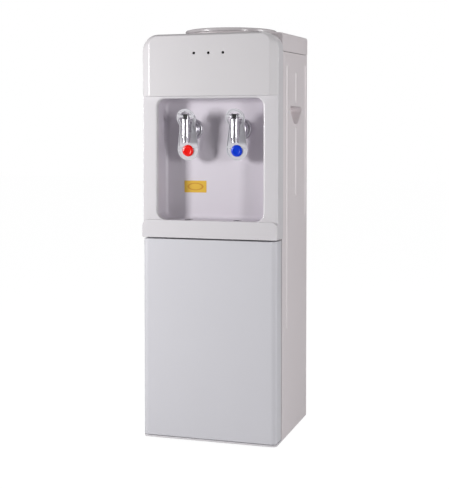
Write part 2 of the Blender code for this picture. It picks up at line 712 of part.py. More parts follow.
def make_rear_panel(finish):
    """The steel back with its vents, the switch opening and the power inlet opening."""
    slope = COVER_RISE / (BODY_DEPTH - BODY_FRONT)
    top = COVER_FOOT_FRONT + slope * (REAR_FACE - BODY_FRONT - WALL) - GAP
    panel = slab("rear_panel", (-INSIDE_HALF, INSIDE_HALF), (behind(REAR_INNER), behind(REAR_FACE)),
                 (FOOT_HEIGHT, top))
    fan_low = COOLING_HEIGHT - (FAN_VENTS * VENT_PITCH) / 2
    cut(panel, *vent_rows(FAN_VENTS, 0, fan_low), *vent_rows(DECK_VENTS, HOT_TANK_X,
                                                             DECK_TOP + DECK_VENT_RISE))
    through = (behind(REAR_INNER - OVERRUN), behind(REAR_FACE + OVERRUN))
    cut(panel, prism("opening", switch_plate_outline(-SWITCH_PLATE_MARGIN / 2), "Y", *through),
        prism("opening", inlet_outline(GAP), "Y", *through))
    return dress(panel, finish["panel"])


# Front fascia and alcove
def make_fascia(finish):
    """The upper front moulding: bevelled head, alcove frame and ledge, hollow behind."""
    body = rounded((-FASCIA_HALF, FASCIA_BOTTOM), (FASCIA_HALF, FASCIA_TOP), FASCIA_FOOT_CORNER,
                   FASCIA_CORNER)
    fascia = prism("front_fascia", body, "Y", behind(FASCIA_SETBACK), behind(FASCIA_DEPTH))
    lap = GAP / 2
    joint = behind(FASCIA_SETBACK + lap)
    full = rounded((-FASCIA_HALF + lap, HEAD_BOTTOM), (FASCIA_HALF - lap, FASCIA_TOP - lap),
                   FASCIA_FOOT_CORNER, FASCIA_CORNER)
    face = rounded((-FASCIA_HALF + HEAD_BEVEL, HEAD_BOTTOM),
                   (FASCIA_HALF - HEAD_BEVEL, FASCIA_TOP - HEAD_TOP_BEVEL),
                   FASCIA_FOOT_CORNER, HEAD_CORNER)
    head = loft("head", [placed(face, "Y", behind(0)), placed(full, "Y", behind(FASCIA_SETBACK)),
                         placed(full, "Y", joint)])
    ledge_outline = rounded((-FASCIA_HALF + lap, FASCIA_BOTTOM + lap), (FASCIA_HALF - lap, LEDGE_TOP),
                            FASCIA_FOOT_CORNER, LEDGE_CORNER)
    ledge = prism("ledge", ledge_outline, "Y", behind(0), joint)
    join(fascia, head, ledge)
    hollow_outline = rounded((-FASCIA_HALF + WALL, FASCIA_BOTTOM + WALL),
                             (FASCIA_HALF - WALL, FASCIA_TOP - WALL),
                             FASCIA_FOOT_CORNER, FASCIA_CORNER - WALL)
    hollow = prism("hollow", hollow_outline, "Y", behind(FASCIA_SETBACK + WALL),
                   behind(FASCIA_DEPTH + OVERRUN))
    collar = prism("frame", window(WALL, WALL), "Y", behind(0), behind(FRAME_REAR))
    cut(hollow, collar)
    inner_half = FASCIA_HALF - HEAD_BEVEL - WALL
    head_pocket = slab("pocket", (-inner_half, inner_half),
                       (behind(WALL), behind(FASCIA_SETBACK + WALL + lap)),
                       (HEAD_BOTTOM + WALL, FASCIA_TOP - HEAD_TOP_BEVEL - HEAD_CORNER / 2))
    ledge_pocket = slab("pocket", (-inner_half, inner_half),
                        (behind(WALL), behind(FASCIA_SETBACK + WALL + lap)),
                        (FASCIA_BOTTOM + WALL, LEDGE_TOP - WALL))
    cut(fascia, hollow, head_pocket, ledge_pocket)
    cut(fascia, frame_cutter(), tray_cutter(FRAME_REAR + OVERRUN))
    for x in lamp_places().values():
        cut(fascia, rod("hole", LAMP_RADIUS + GAP, "Y", (x, 0, lamp_height()), behind(-OVERRUN),
                        behind(WALL + OVERRUN)))
    cut(fascia, rod("hole", HINGE_PIN_RADIUS + GAP, "Z", (HINGE_X, behind(HINGE_DEPTH), 0),
                    FASCIA_BOTTOM - OVERRUN, FASCIA_BOTTOM + WALL + OVERRUN))
    return dress(fascia, finish["shell"])


def frame_cutter():
    """The tool for the alcove's opening, flaring forwards with the frame's round edge."""
    lap = GAP / 2
    loops = [placed(window(FRAME_FILLET - lap, -lap), "Y", behind(FASCIA_SETBACK - lap - lap))]
    for step in range(ARC_STEPS + 1):
        angle = math.radians(90 * (1 - step / ARC_STEPS))
        margin = FRAME_FILLET * (1 - math.cos(angle))
        depth = FASCIA_SETBACK + FRAME_FILLET * (1 - math.sin(angle))
        loops.append(placed(window(margin), "Y", behind(depth)))
    loops.append(placed(window(0), "Y", behind(FRAME_REAR + OVERRUN)))
    return loft("opening", loops)


def tray_cutter(rear):
    """The tool for the tray's seat in the alcove floor, back to a given depth."""
    half = TRAY_HALF_WIDTH + SLIP
    return slab("seat", (-half, half), (behind(TRAY_FRONT - SLIP), behind(rear)),
                (LEDGE_TOP - WALL - OVERRUN, LEDGE_TOP + SLIP))


def make_liner(finish):
    """The alcove's moulded liner, behind the fascia's frame."""
    front = FRAME_REAR + GAP
    liner = prism("alcove_liner", window(LINER_WALL, LINER_WALL), "Y", behind(front),
                  behind(ALCOVE_DEPTH + LINER_WALL))
    flange = prism("flange", window(LINER_FLANGE, LINER_WALL), "Y", behind(front), behind(front + LINER_WALL))
    join(liner, flange)
    loops = [placed(window(0), "Y", behind(front - OVERRUN))]
    for step in range(4):
        angle = math.radians(30 * step)
        inset = ALCOVE_BACK_FILLET * (1 - math.cos(angle))
        depth = ALCOVE_DEPTH - ALCOVE_BACK_FILLET * (1 - math.sin(angle))
        loops.append(placed(window(-inset), "Y", behind(depth)))
    cut(liner, loft("hollow", loops))
    seat_rear = TRAY_FRONT + TRAY_DEPTH + SLIP + SLIP
    cut(liner, tray_cutter(seat_rear))
    for x in tap_places().values():
        cut(liner, rod("hole", TAIL_RADIUS + GAP, "Y", (x, 0, TAP_NECK_HEIGHT),
                       behind(ALCOVE_DEPTH - OVERRUN),
                       behind(ALCOVE_DEPTH + LINER_WALL + OVERRUN), FINE_SEGMENTS))
    return dress(liner, finish["liner"])


def lamp_places():
    """The three indicator lamps, left to right."""
    return {"power_lamp": -LAMP_SPACING, "heating_lamp": 0.0, "cooling_lamp": LAMP_SPACING}


def lamp_height():
    """Height of the lamp row."""
    return FASCIA_TOP - LAMP_DROP


def make_lamps(finish):
    """Smoked lenses held by a flange behind the fascia's wall."""
    for name, x in lamp_places().items():
        profile = [(0, behind(GAP)), (LAMP_RADIUS, behind(GAP)), (LAMP_RADIUS, behind(WALL + GAP)),
                   (LAMP_RADIUS + LAMP_FLANGE, behind(WALL + GAP)),
                   (LAMP_RADIUS + LAMP_FLANGE, behind(WALL + GAP + LAMP_FLANGE)),
                   (LAMP_RADIUS, behind(WALL + GAP + LAMP_FLANGE)),
                   (LAMP_RADIUS, behind(WALL + GAP + LAMP_BARREL)), (0, behind(WALL + GAP + LAMP_BARREL))]
        dress(turned(name, profile, "Y", (x, 0, lamp_height()), HOLE_SEGMENTS), finish["lens"])


def make_tray(finish):
    """The lift-out drip tray: a cup and its cover with two drain holes."""
    tray_slide = axis_empty("drip_tray_slide", (0, behind(TRAY_FRONT), LEDGE_TOP))
    cover_slide = axis_empty("drip_cover_slide", (0, behind(TRAY_FRONT), LEDGE_TOP))
    front = behind(TRAY_FRONT)
    rear = behind(TRAY_FRONT + TRAY_DEPTH)
    cover_under = LEDGE_TOP - TRAY_COVER
    outline = rounded((-TRAY_HALF_WIDTH, front), (TRAY_HALF_WIDTH, rear), TRAY_CORNER, TRAY_CORNER, 3)
    cup = prism("drip_cup", outline, "Z", FASCIA_BOTTOM + WALL + GAP, cover_under - GAP)
    inner = rounded((-TRAY_HALF_WIDTH + TRAY_WALL, front + TRAY_WALL),
                    (TRAY_HALF_WIDTH - TRAY_WALL, rear - TRAY_WALL),
                    TRAY_CORNER - TRAY_WALL, TRAY_CORNER - TRAY_WALL, 3)
    cut(cup, prism("hollow", inner, "Z", FASCIA_BOTTOM + WALL + GAP + TRAY_WALL, cover_under + OVERRUN))
    dress(cup, finish["shell"], tray_slide)
    cover = prism("drip_cover", outline, "Z", cover_under, LEDGE_TOP)
    for x in tap_places().values():
        cut(cover, rod("drain", DRAIN_RADIUS, "Z", (x, behind(DRAIN_DEPTH), 0), cover_under - OVERRUN,
                       LEDGE_TOP + OVERRUN, FINE_SEGMENTS))
    dress(cover, finish["liner"], cover_slide)


# Cover and bottle seat
def cover_outline(inset, foot_overrun):
    """The cover in side view, as (y, z), sloping up towards the back."""
    slope = COVER_RISE / (BODY_DEPTH - BODY_FRONT)
    front = behind(BODY_FRONT + inset)
    rear = behind(BODY_DEPTH - inset)
    foot_rear = COVER_FOOT_FRONT + COVER_RISE - foot_overrun
    return [(front, COVER_FOOT_FRONT - foot_overrun), (rear, foot_rear),
            (rear, COVER_TOP_REAR - inset - slope * inset), (front, COVER_TOP_FRONT - inset + slope * inset)]


def make_cover(finish):
    """The top cover: a sloping cap with a level seat for the bottle collar."""
    cover = prism("top_cover", cover_outline(0, 0), "X", -HALF_WIDTH, HALF_WIDTH)
    bm = bmesh.new()
    bm.from_mesh(cover.data)
    long_edges = [edge for edge in bm.edges if all(abs(vert.co.z - COVER_TOP_FRONT) < COVER_RISE + WALL
                                                   for vert in edge.verts)
                  and abs(edge.verts[0].co.y - edge.verts[1].co.y) > HALF_WIDTH]
    bmesh.ops.bevel(bm, geom=long_edges, offset=WALL + WALL, segments=4, profile=0.5, affect="EDGES")
    bm.to_mesh(cover.data)
    bm.free()
    centre = (0, behind(SEAT_CENTRE_DEPTH), 0)
    join(cover, rod("boss", COLLAR_RADIUS - EDGE_BREAK, "Z", centre, COVER_TOP_FRONT - WALL, BOSS_TOP, 48))
    inner = cover_outline(WALL, OVERRUN)
    cut(cover, prism("hollow", inner, "X", -HALF_WIDTH + WALL, HALF_WIDTH - WALL),
        rod("hole", COLLAR_SKIRT_RADIUS + GAP, "Z", centre, COVER_FOOT_FRONT, BOSS_TOP + OVERRUN, 48))
    return dress(cover, finish["shell"])


def make_bottle_seat(finish):
    """The collar that steadies the bottle, and the funnel with the probe that opens it."""
    centre = (0, behind(SEAT_CENTRE_DEPTH), 0)
    shoulder = BOSS_TOP + GAP
    foot = shoulder - COLLAR_DROP
    ledge = foot + COLLAR_LEDGE_HEIGHT
    profile = [(COLLAR_SKIRT_RADIUS, foot), (COLLAR_SKIRT_RADIUS, shoulder), (COLLAR_RADIUS, shoulder),
               (COLLAR_RADIUS, COLLAR_TOP - COLLAR_ROUND),
               (COLLAR_RADIUS - COLLAR_ROUND / 3, COLLAR_TOP - COLLAR_ROUND / 3),
               (COLLAR_RADIUS - COLLAR_ROUND, COLLAR_TOP),
               (COLLAR_INNER + COLLAR_ROUND, COLLAR_TOP), (COLLAR_INNER, COLLAR_TOP - COLLAR_ROUND),
               (COLLAR_INNER, ledge), (COLLAR_INNER - COLLAR_LEDGE, ledge),
               (COLLAR_INNER - COLLAR_LEDGE, foot)]
    dress(turned("bottle_collar", profile, "Z", centre, 48), finish["collar"])
    slide = axis_empty("water_guard_slide", centre)
    rim_foot = GUARD_RIM_FOOT
    rim_top = rim_foot + GUARD_RIM
    rim = COLLAR_INNER - GAP
    cone_start = COLLAR_INNER - COLLAR_LEDGE - SLIP
    throat_floor = GUARD_THROAT_FOOT
    probe_top = throat_floor + GUARD_PROBE_HEIGHT
    profile = [(0, throat_floor), (GUARD_THROAT + WALL, throat_floor),
               (GUARD_THROAT + WALL, rim_foot - GUARD_CONE_DROP), (cone_start, rim_foot), (rim, rim_foot),
               (rim, rim_top), (cone_start - WALL, rim_top), (GUARD_THROAT, rim_top - GUARD_CONE_DROP),
               (GUARD_THROAT, throat_floor + WALL), (GUARD_PROBE_RADIUS, throat_floor + WALL),
               (GUARD_PROBE_RADIUS, probe_top - GUARD_PROBE_RADIUS / 2), (GUARD_PROBE_RADIUS / 2, probe_top),
               (0, probe_top)]
    guard = turned("water_guard", profile, "Z", centre, 36)
    for index in range(GUARD_HOLES):
        angle = math.tau * (index + 0.5) / GUARD_HOLES
        place = (GUARD_HOLE_CIRCLE * math.cos(angle), centre[1] + GUARD_HOLE_CIRCLE * math.sin(angle), 0)
        cut(guard, rod("drain", GUARD_HOLE, "Z", place, throat_floor - OVERRUN, throat_floor + WALL + OVERRUN,
                       12))
    dress(guard, finish["silicone"], slide)


# Cabinet
def make_cabinet(finish):
    """The deck over the cabinet and the inner back."""
    deck = slab("mid_deck", (-INSIDE_HALF, INSIDE_HALF),
                (behind(BODY_FRONT + SLIP), behind(REAR_INNER - GAP)),
                (DECK_UNDER, DECK_TOP))
    flange = slab("flange", (-INSIDE_HALF, INSIDE_HALF), (behind(BODY_FRONT + SLIP),
                  behind(BODY_FRONT + SLIP + DECK_THICKNESS)), (DECK_UNDER - DECK_FLANGE, DECK_TOP))
    dress(join(deck, flange), finish["panel"])
    sill = PLINTH_TOP + GAP
    back = slab("cabinet_back", (-INSIDE_HALF + BASE_WALL + GAP, INSIDE_HALF - BASE_WALL - GAP),
                (behind(INNER_BACK_DEPTH), behind(INNER_BACK_DEPTH + SHEET)), (sill, DECK_UNDER - GAP))
    dress(back, finish["panel"])


def door_plan(inset, depth):
    """The door seen from above, as (x, y), with its rounded front edges."""
    front = behind(inset)
    rear = behind(depth)
    side = HALF_WIDTH - inset
    corner = DOOR_CORNER - inset
    back = max(DOOR_BACK_CORNER - inset, GAP)
    return (arc((-side + corner, front + corner), corner, 180, 270) + arc((side - corner, front + corner),
                                                                          corner, 270, 360)
            + arc((side - back, rear - back), back, 0, 90, 3) + arc((-side + back, rear - back), back, 90,
                                                                    180, 3))


def make_door(finish):
    """The cabinet door: outer shell, inner panel and magnet, hung on two pins at its left edge."""
    hinge = axis_empty("door_hinge_axis", (HINGE_X, behind(HINGE_DEPTH), 0))
    shell = prism("cabinet_door", door_plan(0, DOOR_DEPTH), "Z", DOOR_BOTTOM, DOOR_TOP)
    hollow = prism("hollow", door_plan(WALL, DOOR_DEPTH + OVERRUN), "Z", DOOR_BOTTOM + WALL, DOOR_TOP - WALL)
    cut(shell, hollow)
    boss_x = (-HALF_WIDTH + WALL / 2, HINGE_X + HINGE_BOSS / 2)
    boss_y = (behind(HINGE_DEPTH - HINGE_BOSS / 2), behind(DOOR_DEPTH))
    for low, high in ((DOOR_BOTTOM + WALL / 2, DOOR_BOTTOM + HINGE_BOSS_HEIGHT),
                      (DOOR_TOP - HINGE_BOSS_HEIGHT, DOOR_TOP - WALL / 2)):
        trimmed = keep(slab("boss", boss_x, boss_y, (low, high)),
                       prism("limit", door_plan(WALL / 2, DOOR_DEPTH - GAP), "Z", DOOR_BOTTOM, DOOR_TOP))
        join(shell, trimmed)
    bore = HINGE_PIN_RADIUS + HINGE_CLEARANCE
    place = (HINGE_X, behind(HINGE_DEPTH), 0)
    cut(shell, rod("bore", bore, "Z", place, DOOR_BOTTOM - OVERRUN, DOOR_BOTTOM + HINGE_PIN_GRIP + GAP),
        rod("bore", bore, "Z", place, DOOR_TOP - HINGE_PIN_GRIP - GAP, DOOR_TOP + OVERRUN))
    dress(shell, finish["shell"], hinge)
    make_door_inner(finish, hinge)
    make_hinge_pins(finish, place)


def make_door_inner(finish, hinge):
    """The flat inner panel inside the door's back edge, and the magnet on it."""
    side = HALF_WIDTH - WALL - GAP
    low = DOOR_BOTTOM + WALL + GAP
    high = DOOR_TOP - WALL - GAP
    rear = DOOR_DEPTH - GAP
    panel = slab("door_inner_panel", (-side, side), (behind(rear - WALL), behind(rear)), (low, high))
    notch_x = (-HALF_WIDTH, HINGE_X + HINGE_BOSS / 2 + GAP)
    notch_y = (behind(rear - WALL - OVERRUN), behind(rear + OVERRUN))
    cut(panel, slab("notch", notch_x, notch_y, (DOOR_BOTTOM, DOOR_BOTTOM + HINGE_BOSS_HEIGHT + GAP)),
        slab("notch", notch_x, notch_y, (DOOR_TOP - HINGE_BOSS_HEIGHT - GAP, DOOR_TOP)))
    dress(panel, finish["liner"], hinge)
    magnet_x = side - MAGNET_FROM_SIDE
    flange_foot = DECK_UNDER - DECK_FLANGE
    magnet_low = (flange_foot + high) / 2 - MAGNET_HEIGHT / 2
    magnet = slab("door_magnet", (magnet_x - MAGNET_LENGTH, magnet_x),
                  (behind(rear + GAP), behind(BODY_FRONT + SLIP - GAP)),
                  (magnet_low, magnet_low + MAGNET_HEIGHT))
    dress(magnet, finish["dark"], hinge)


def make_hinge_pins(finish, place):
    """Shouldered pins, the lower one in the base's lip, the upper one in the fascia's floor."""
    lower = [(0, FOOT_HEIGHT), (HINGE_PIN_RADIUS, FOOT_HEIGHT), (HINGE_PIN_RADIUS, PLINTH_TOP + GAP),
             (HINGE_COLLAR_RADIUS, PLINTH_TOP + GAP), (HINGE_COLLAR_RADIUS, DOOR_BOTTOM - GAP),
             (HINGE_PIN_RADIUS, DOOR_BOTTOM - GAP), (HINGE_PIN_RADIUS, DOOR_BOTTOM + HINGE_PIN_GRIP),
             (0, DOOR_BOTTOM + HINGE_PIN_GRIP)]
    dress(turned("lower_hinge_pin", lower, "Z", place, FINE_SEGMENTS), finish["zinc"])
    head_foot = FASCIA_BOTTOM + WALL + GAP
    upper = [(0, DOOR_TOP - HINGE_PIN_GRIP), (HINGE_PIN_RADIUS, DOOR_TOP - HINGE_PIN_GRIP),
             (HINGE_PIN_RADIUS, head_foot), (HINGE_COLLAR_RADIUS, head_foot),
             (HINGE_COLLAR_RADIUS, head_foot + PIN_HEAD), (0, head_foot + PIN_HEAD)]
    dress(turned("upper_hinge_pin", upper, "Z", place, FINE_SEGMENTS), finish["zinc"])


# Taps
def tap_places():
    """The two taps, hot on the left and cold on the right."""
    return {"hot": -TAP_SPACING / 2, "cold": TAP_SPACING / 2}


def make_tap_body(name, x, finish):
    """The chromed tap: barrel with nozzle and fork, neck, body, wall flange and threaded tail."""
    place = (x, behind(TAP_AXIS_DEPTH), 0)
    barrel_foot = TAP_NECK_HEIGHT - BARREL_BELOW
    profile = [(0, NOZZLE_TIP), (NOZZLE_RADIUS - EDGE_BREAK / 2, NOZZLE_TIP),
               (NOZZLE_RADIUS, NOZZLE_TIP + EDGE_BREAK / 2),
               (NOZZLE_RADIUS, barrel_foot), (BARREL_RADIUS, barrel_foot + EDGE_BREAK / 2),
               (BARREL_RADIUS, BARREL_TOP - EDGE_BREAK), (BARREL_RADIUS - EDGE_BREAK, BARREL_TOP),
               (0, BARREL_TOP)]
    body = turned(name, profile, "Z", place, 28)
    axis = (x, 0, TAP_NECK_HEIGHT)
    flange_rear = ALCOVE_DEPTH - GAP
    body_front = TAP_BODY_DEPTH
    tail_end = flange_rear + TAIL_LENGTH
    reach = [(0, behind(TAP_AXIS_DEPTH)), (NECK_RADIUS, behind(TAP_AXIS_DEPTH)),
             (NECK_RADIUS, behind(body_front)),
             (TAP_BODY_RADIUS - EDGE_BREAK, behind(body_front)),
             (TAP_BODY_RADIUS, behind(body_front + EDGE_BREAK)),
             (TAP_BODY_RADIUS, behind(flange_rear - TAP_FLANGE)),
             (TAP_FLANGE_RADIUS - EDGE_BREAK, behind(flange_rear - TAP_FLANGE)),
             (TAP_FLANGE_RADIUS, behind(flange_rear - TAP_FLANGE + EDGE_BREAK)),
             (TAP_FLANGE_RADIUS, behind(flange_rear)),
             (TAIL_RADIUS, behind(flange_rear)), (TAIL_RADIUS, behind(tail_end)), (0, behind(tail_end))]
    join(body, turned("reach", reach, "Y", axis, 28))
    cheek_outline = (arc((behind(TAP_AXIS_DEPTH), PIVOT_HEIGHT), CHEEK_RADIUS, 0, 180, 8)
                     + [(behind(TAP_AXIS_DEPTH) - CHEEK_RADIUS, BARREL_TOP - EDGE_BREAK),
                        (behind(TAP_AXIS_DEPTH) + CHEEK_RADIUS, BARREL_TOP - EDGE_BREAK)])
    for side in (-1, 1):
        join(body, prism("cheek", cheek_outline, "X", x + side * CHEEK_INNER,
                         x + side * (CHEEK_INNER + CHEEK_THICKNESS)))
    bore_top = BARREL_TOP - BARREL_CROWN
    rod_bore = STEM_RADIUS + GAP
    passage = [(0, NOZZLE_TIP - OVERRUN), (SEAT_RADIUS, NOZZLE_TIP - OVERRUN), (SEAT_RADIUS, VALVE_SEAT),
               (BORE_RADIUS, VALVE_SEAT), (BORE_RADIUS, bore_top), (rod_bore, bore_top),
               (rod_bore, BARREL_TOP + OVERRUN), (0, BARREL_TOP + OVERRUN)]
    cut(body, turned("passage", passage, "Z", place, HOLE_SEGMENTS),
        rod("bore", NECK_BORE, "Y", axis, behind(TAP_AXIS_DEPTH), behind(tail_end + OVERRUN), 12))
    pin_hole = CHEEK_INNER + CHEEK_THICKNESS + OVERRUN
    cut(body, rod("hole", PIVOT_PIN_RADIUS + GAP, "X", (0, behind(TAP_AXIS_DEPTH), PIVOT_HEIGHT),
                  x - pin_hole, x + pin_hole, 12))
    return dress(body, finish["chrome"])


def make_lock_nut(name, x, finish):
    """The six-sided nut that holds the tap behind the liner."""
    front = behind(ALCOVE_DEPTH + LINER_WALL + GAP)
    nut = prism(name, circle((x, TAP_NECK_HEIGHT), NUT_RADIUS, 6), "Y", front, front + NUT_THICKNESS)
    cut(nut, rod("bore", TAIL_RADIUS + GAP, "Y", (x, 0, TAP_NECK_HEIGHT), front - OVERRUN,
                 front + NUT_THICKNESS + OVERRUN, FINE_SEGMENTS))
    return dress(nut, finish["dark"])


def make_stem(name, x, finish, slide):
    """The plunger: seal at the foot, rod up the barrel, head between the fork's cheeks."""
    place = (x, behind(TAP_AXIS_DEPTH), 0)
    seal_foot = VALVE_SEAT + GAP
    seal_top = seal_foot + STEM_SEAL_HEIGHT
    head_foot = BARREL_TOP + GAP
    head_top = PIVOT_HEIGHT + STEM_HEAD_RISE
    profile = [(0, seal_foot), (BORE_RADIUS - SLIP, seal_foot), (BORE_RADIUS - SLIP, seal_top),
               (STEM_RADIUS, seal_top), (STEM_RADIUS, head_foot + EDGE_BREAK), (0, head_foot + EDGE_BREAK)]
    stem = turned(name, profile, "Z", place, HOLE_SEGMENTS)
    half = STEM_HEAD_HALF
    y = place[1]
    join(stem, slab("head", (x - half, x + half), (y - half, y + half), (head_foot, head_top)))
    slot_radius = PIVOT_PIN_RADIUS + GAP
    slot = (arc((y, PIVOT_HEIGHT), slot_radius, 0, 180, 6)
            + arc((y, PIVOT_HEIGHT - STEM_LIFT), slot_radius, 180, 360, 6))
    cut(stem, prism("slot", slot, "X", x - half - OVERRUN, x + half + OVERRUN))
    return dress(stem, finish["dark"], slide)


def make_spring(name, x, finish):
    """The coil spring that presses the seal down."""
    low = VALVE_SEAT + GAP + STEM_SEAL_HEIGHT + SPRING_WIRE + GAP
    high = BARREL_TOP - BARREL_CROWN - SPRING_WIRE - GAP
    points = []
    count = SPRING_TURNS * SPRING_POINTS_PER_TURN
    for step in range(count + 1):
        angle = math.tau * step / SPRING_POINTS_PER_TURN
        points.append(Vector((x + SPRING_RADIUS * math.cos(angle),
                              behind(TAP_AXIS_DEPTH) + SPRING_RADIUS * math.sin(angle),
                              low + (high - low) * step / count)))
    return dress(tube(name, points, SPRING_WIRE, 0), finish["inox"])


def lever_band():
    """The lever's bent thickness in side view, as (y, z)."""
    over = LEVER_THICKNESS
    centre_line = [(LEVER_TOP_DEPTH, TAP_NECK_HEIGHT + RING_RISE + RING_RADIUS),
                   (LEVER_ELBOW_DEPTH, TAP_NECK_HEIGHT + LEVER_ELBOW_RISE),
                   (LEVER_KNEE_DEPTH, TAP_NECK_HEIGHT - LEVER_KNEE_DROP),
                   (LEVER_TIP_DEPTH, TAP_NECK_HEIGHT - PADDLE_DROP - PADDLE_RADIUS)]
    line = [Vector((behind(depth), level)) for depth, level in centre_line]
    first = (line[0] - line[1]).normalized() * over
    last = (line[-1] - line[-2]).normalized() * over
    line = [line[0] + first] + line[1:-1] + [line[-1] + last]
    front = []
    back = []
    for index, point in enumerate(line):
        before = line[max(index - 1, 0)]
        after = line[min(index + 1, len(line) - 1)]
        run = (after - before).normalized()
        across = Vector((-run.y, run.x)) * LEVER_THICKNESS / 2
        front.append(tuple(point + across))
        back.append(tuple(point - across))
    return front + list(reversed(back))


def lever_outline(x):
    """The lever from the front: ring on top, waist, round paddle below."""
    ring = (x, TAP_NECK_HEIGHT + RING_RISE)
    paddle = (x, TAP_NECK_HEIGHT - PADDLE_DROP)
    waist = TAP_NECK_HEIGHT - WAIST_DROP
    return (arc(ring, RING_RADIUS, -50, 230, 20) + [(x - WAIST_HALF, waist + WAIST_DROP),
                                                    (x - WAIST_HALF, waist)]
            + arc(paddle, PADDLE_RADIUS, 172, 368, 16)
            + [(x + WAIST_HALF, waist), (x + WAIST_HALF, waist + WAIST_DROP)])


def make_lever(name, x, finish, hinge):
    """The push lever: a bent plate round the barrel's top, with pin bosses and a paddle."""
    front = behind(-OVERRUN)
    rear = behind(LEVER_TIP_DEPTH + OVERRUN + LEVER_THICKNESS)
    lever = prism(name, lever_outline(x), "Y", front, rear)
    ring = TAP_NECK_HEIGHT + RING_RISE
    slot_end = TAP_NECK_HEIGHT - LEVER_SLOT_DROP + LEVER_SLOT_HALF
    spread = math.degrees(math.asin(LEVER_SLOT_HALF / RING_HOLE))
    keyhole = (arc((x, ring), RING_HOLE, spread - 90, 270 - spread, 18)
               + arc((x, slot_end), LEVER_SLOT_HALF, 180, 360, 8))
    cut(lever, prism("keyhole", keyhole, "Y", front - OVERRUN, rear + OVERRUN))
    reach = PADDLE_RADIUS + OVERRUN
    keep(lever, prism("band", lever_band(), "X", x - reach, x + reach))
    axis = (0, behind(TAP_AXIS_DEPTH), PIVOT_HEIGHT)
    for side in (-1, 1):
        low, high = sorted((x + side * LEVER_BOSS_INNER, x + side * LEVER_BOSS_OUTER))
        join(lever, rod("boss", LEVER_BOSS_RADIUS, "X", axis, low, high))
    pin_room = PIVOT_PIN_HALF + GAP
    cut(lever, rod("bore", PIVOT_PIN_RADIUS + GAP, "X", axis, x - pin_room, x + pin_room, 12))
    return dress(lever, finish["lever"], hinge)


def make_dot(name, x, material, hinge):
    """The coloured cap on the paddle."""
    run = Vector((LEVER_TIP_DEPTH - LEVER_KNEE_DEPTH,
                  LEVER_KNEE_DROP - PADDLE_DROP - PADDLE_RADIUS))
    tilt = math.atan2(run.x, -run.y)
    share = (DOT_DROP - LEVER_KNEE_DROP) / (PADDLE_DROP + PADDLE_RADIUS - LEVER_KNEE_DROP)
    depth = LEVER_KNEE_DEPTH + (LEVER_TIP_DEPTH - LEVER_KNEE_DEPTH) * share
    stand = LEVER_THICKNESS / 2 + GAP
    profile = [(0, -stand - DOT_THICKNESS), (DOT_RADIUS / 2, -stand - DOT_THICKNESS + EDGE_BREAK / 8),
               (DOT_RADIUS - EDGE_BREAK, -stand - DOT_THICKNESS + EDGE_BREAK / 2),
               (DOT_RADIUS, -stand - EDGE_BREAK / 4),
               (DOT_RADIUS, -stand), (0, -stand)]
    dot = turned(name, profile, "Y", (0, 0, 0), 28)
    dot.data.transform(Matrix.Translation((x, behind(depth), TAP_NECK_HEIGHT - DOT_DROP))
                       @ Matrix.Rotation(tilt, 4, "X"))
    return dress(dot, material, hinge)


def make_taps(finish):
    """Both taps with all that moves on them."""
    for kind, x in tap_places().items():
        hinge = axis_empty(kind + "_lever_axis", (x, behind(TAP_AXIS_DEPTH), PIVOT_HEIGHT))
        slide = axis_empty(kind + "_stem_axis", (x, behind(TAP_AXIS_DEPTH), BARREL_TOP))
        make_tap_body(kind + "_tap_body", x, finish)
        make_lock_nut(kind + "_tap_nut", x, finish)
        make_stem(kind + "_tap_stem", x, finish, slide)
        make_spring(kind + "_tap_spring", x, finish)
        make_lever(kind + "_tap_lever", x, finish, hinge)
        make_dot(kind + "_tap_dot", x, finish["red" if kind == "hot" else "blue"], hinge)
        pin = rod(kind + "_lever_pin", PIVOT_PIN_RADIUS, "X", (0, behind(TAP_AXIS_DEPTH), PIVOT_HEIGHT),
                  x - PIVOT_PIN_HALF, x + PIVOT_PIN_HALF, 12)
        dress(pin, finish["zinc"])


# Tanks and hoses
def cold_outlet_place():
    """Centre of the cold tank's outlet, as (x, y)."""
    return COLD_OUTLET[0], behind(SEAT_CENTRE_DEPTH + COLD_OUTLET[1])


